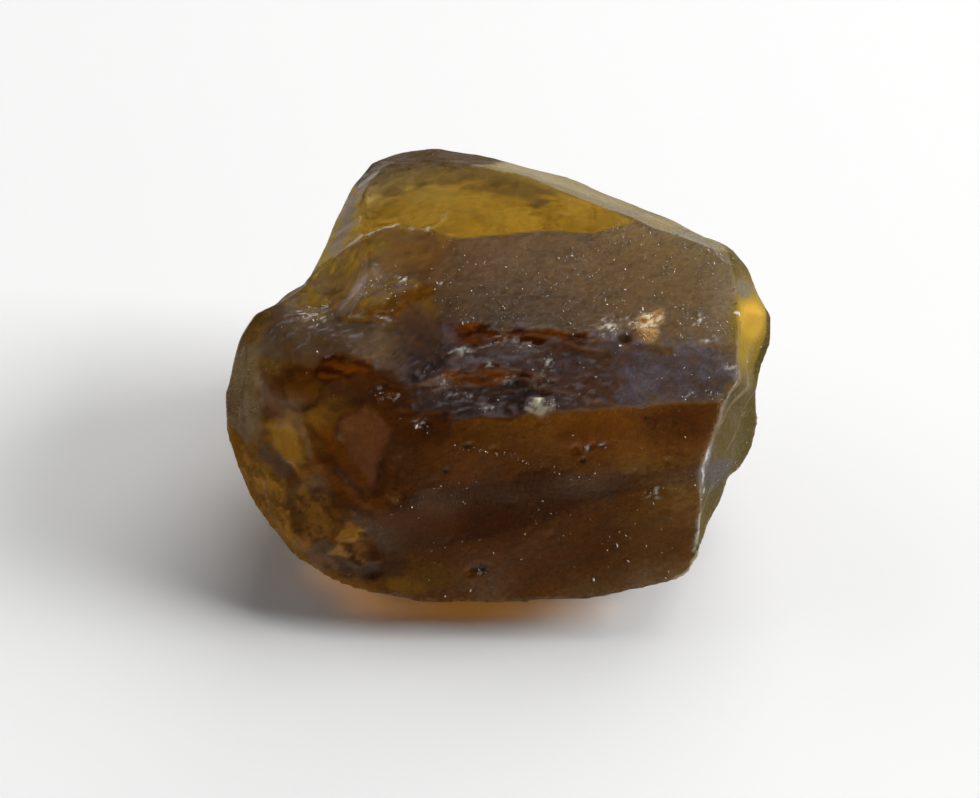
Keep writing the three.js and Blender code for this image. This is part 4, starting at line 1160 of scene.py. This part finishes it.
# %% Speck material
crumb = bpy.data.materials.new("crushed_crystal")
crumb.use_nodes = True
crumb_tree = crumb.node_tree
crumb_tree.nodes.clear()
crumb_place = node(crumb_tree, "ShaderNodeTexCoord", output="Object")
crumb_noise = node(
    crumb_tree, "ShaderNodeTexNoise", inputs={"Vector": crumb_place, "Scale": GRAIN_SCALE}
)
crumb_hue = node(
    crumb_tree, "ShaderNodeMix", {"data_type": "RGBA"},
    {"Factor": 3 * crumb_noise - 1, "A": (0.3, 0.18, 0.06, 1), "B": (0.95, 0.92, 0.86, 1)},
    output="Result",
)
crumb_look = node(
    crumb_tree, "ShaderNodeBsdfPrincipled", inputs={"Base Color": crumb_hue, "Roughness": 0.35}
)
node(crumb_tree, "ShaderNodeOutputMaterial", inputs={"Surface": crumb_look})
print("crushed crystal has", len(crumb_tree.nodes), "nodes")

# %% [markdown]
# ## Strewing
#
# The node group has two named inputs, the density and the radius of the specks. All that is random
# in it has a fixed seed. It ends in Realize Instances and Set Material, so that the specks are real
# faces with a material, and not copies that an export would lose.

# %% Speck nodes
SPECKS_PER_SQUARE_METRE = 250e6
SPECK_RADIUS = 0.0145 * MM
FULL_TURN = 6.28

group = bpy.data.node_groups.new("strew_specks", "GeometryNodeTree")
group.interface.new_socket("Geometry", in_out="INPUT", socket_type="NodeSocketGeometry")
density_in = group.interface.new_socket("Density", in_out="INPUT", socket_type="NodeSocketFloat")
radius_in = group.interface.new_socket("Radius", in_out="INPUT", socket_type="NodeSocketFloat")
group.interface.new_socket("Geometry", in_out="OUTPUT", socket_type="NodeSocketGeometry")
given = group.nodes.new("NodeGroupInput")
bed_skin, density, radius = (Socket(group, given.outputs[i]) for i in range(3))
bed_read = node(group, "GeometryNodeInputNamedAttribute", {"data_type": "FLOAT"}, {"Name": "bed"})
strewn = node(
    group, "GeometryNodeDistributePointsOnFaces", {"distribute_method": "RANDOM"},
    inputs={"Mesh": bed_skin, "Density": density * bed_read, "Seed": 4},
)
ball = node(group, "GeometryNodeMeshIcoSphere", inputs={"Radius": radius, "Subdivisions": 1})
turned = node(
    group, "FunctionNodeRandomValue", {"data_type": "FLOAT_VECTOR"},
    {"Min": (0, 0, 0), "Max": (FULL_TURN, FULL_TURN, FULL_TURN), "Seed": 1},
)
squashed = node(
    group, "FunctionNodeRandomValue", {"data_type": "FLOAT_VECTOR"},
    {"Min": (0.4, 0.3, 0.2), "Max": (2.2, 1.0, 0.6), "Seed": 2},
)
chance = node(group, "FunctionNodeRandomValue", {"data_type": "FLOAT"}, {"Seed": 3}, output=1)
sized = node(
    group, "ShaderNodeVectorMath", {"operation": "SCALE"},
    {0: squashed, "Scale": 0.6 + 1.3 * chance * chance * chance * chance},
)
placed = node(
    group, "GeometryNodeInstanceOnPoints",
    inputs={"Points": strewn, "Instance": ball, "Rotation": turned, "Scale": sized},
)
real = node(group, "GeometryNodeRealizeInstances", inputs={"Geometry": placed})
made = node(group, "GeometryNodeSetMaterial", inputs={"Geometry": real, "Material": crumb})
finished = group.nodes.new("NodeGroupOutput")
group.links.new(made.socket, finished.inputs["Geometry"])
print("the strewing has", len(group.nodes), "nodes")

# %% [markdown]
# ## The specks as a piece
#
# The modifier's inputs are set by their identifiers, and its result becomes a plain mesh. The copy
# of the skin has done its work then, and goes.

# %% Speck piece
strew = bed.modifiers.new("strew", "NODES")
strew.node_group = group
strew[density_in.identifier] = SPECKS_PER_SQUARE_METRE
strew[radius_in.identifier] = SPECK_RADIUS
depsgraph = bpy.context.evaluated_depsgraph_get()
speck_mesh = bpy.data.meshes.new_from_object(bed.evaluated_get(depsgraph))
bed.modifiers.clear()
bpy.data.objects.remove(bed)
speck_mesh.name = "garnet_specks"
specks = bpy.data.objects.new("garnet_specks", speck_mesh)
bpy.context.scene.collection.objects.link(specks)
print("strewed specks of", len(speck_mesh.polygons), "faces in all")

# %% [markdown]
# ## Hand over
#
# The stone stands in for the plain solid, and the specks ride with it. The last lines set how the
# light is traced, which counts for a crystal: enough bounces to get through it and out again, and a
# limit on stray bright rays.

# %% Hand over to the frame
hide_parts("garnet")
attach(stone, "root")
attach(specks, "root")

BOUNCES = 16
STRAY_RAY_LIMIT = 4
scene = bpy.context.scene
scene.view_settings.view_transform = "Standard"
scene.cycles.use_denoising = True
scene.cycles.max_bounces = BOUNCES
scene.cycles.transmission_bounces = BOUNCES
scene.cycles.caustics_reflective = True
scene.cycles.caustics_refractive = True
scene.cycles.sample_clamp_indirect = STRAY_RAY_LIMIT
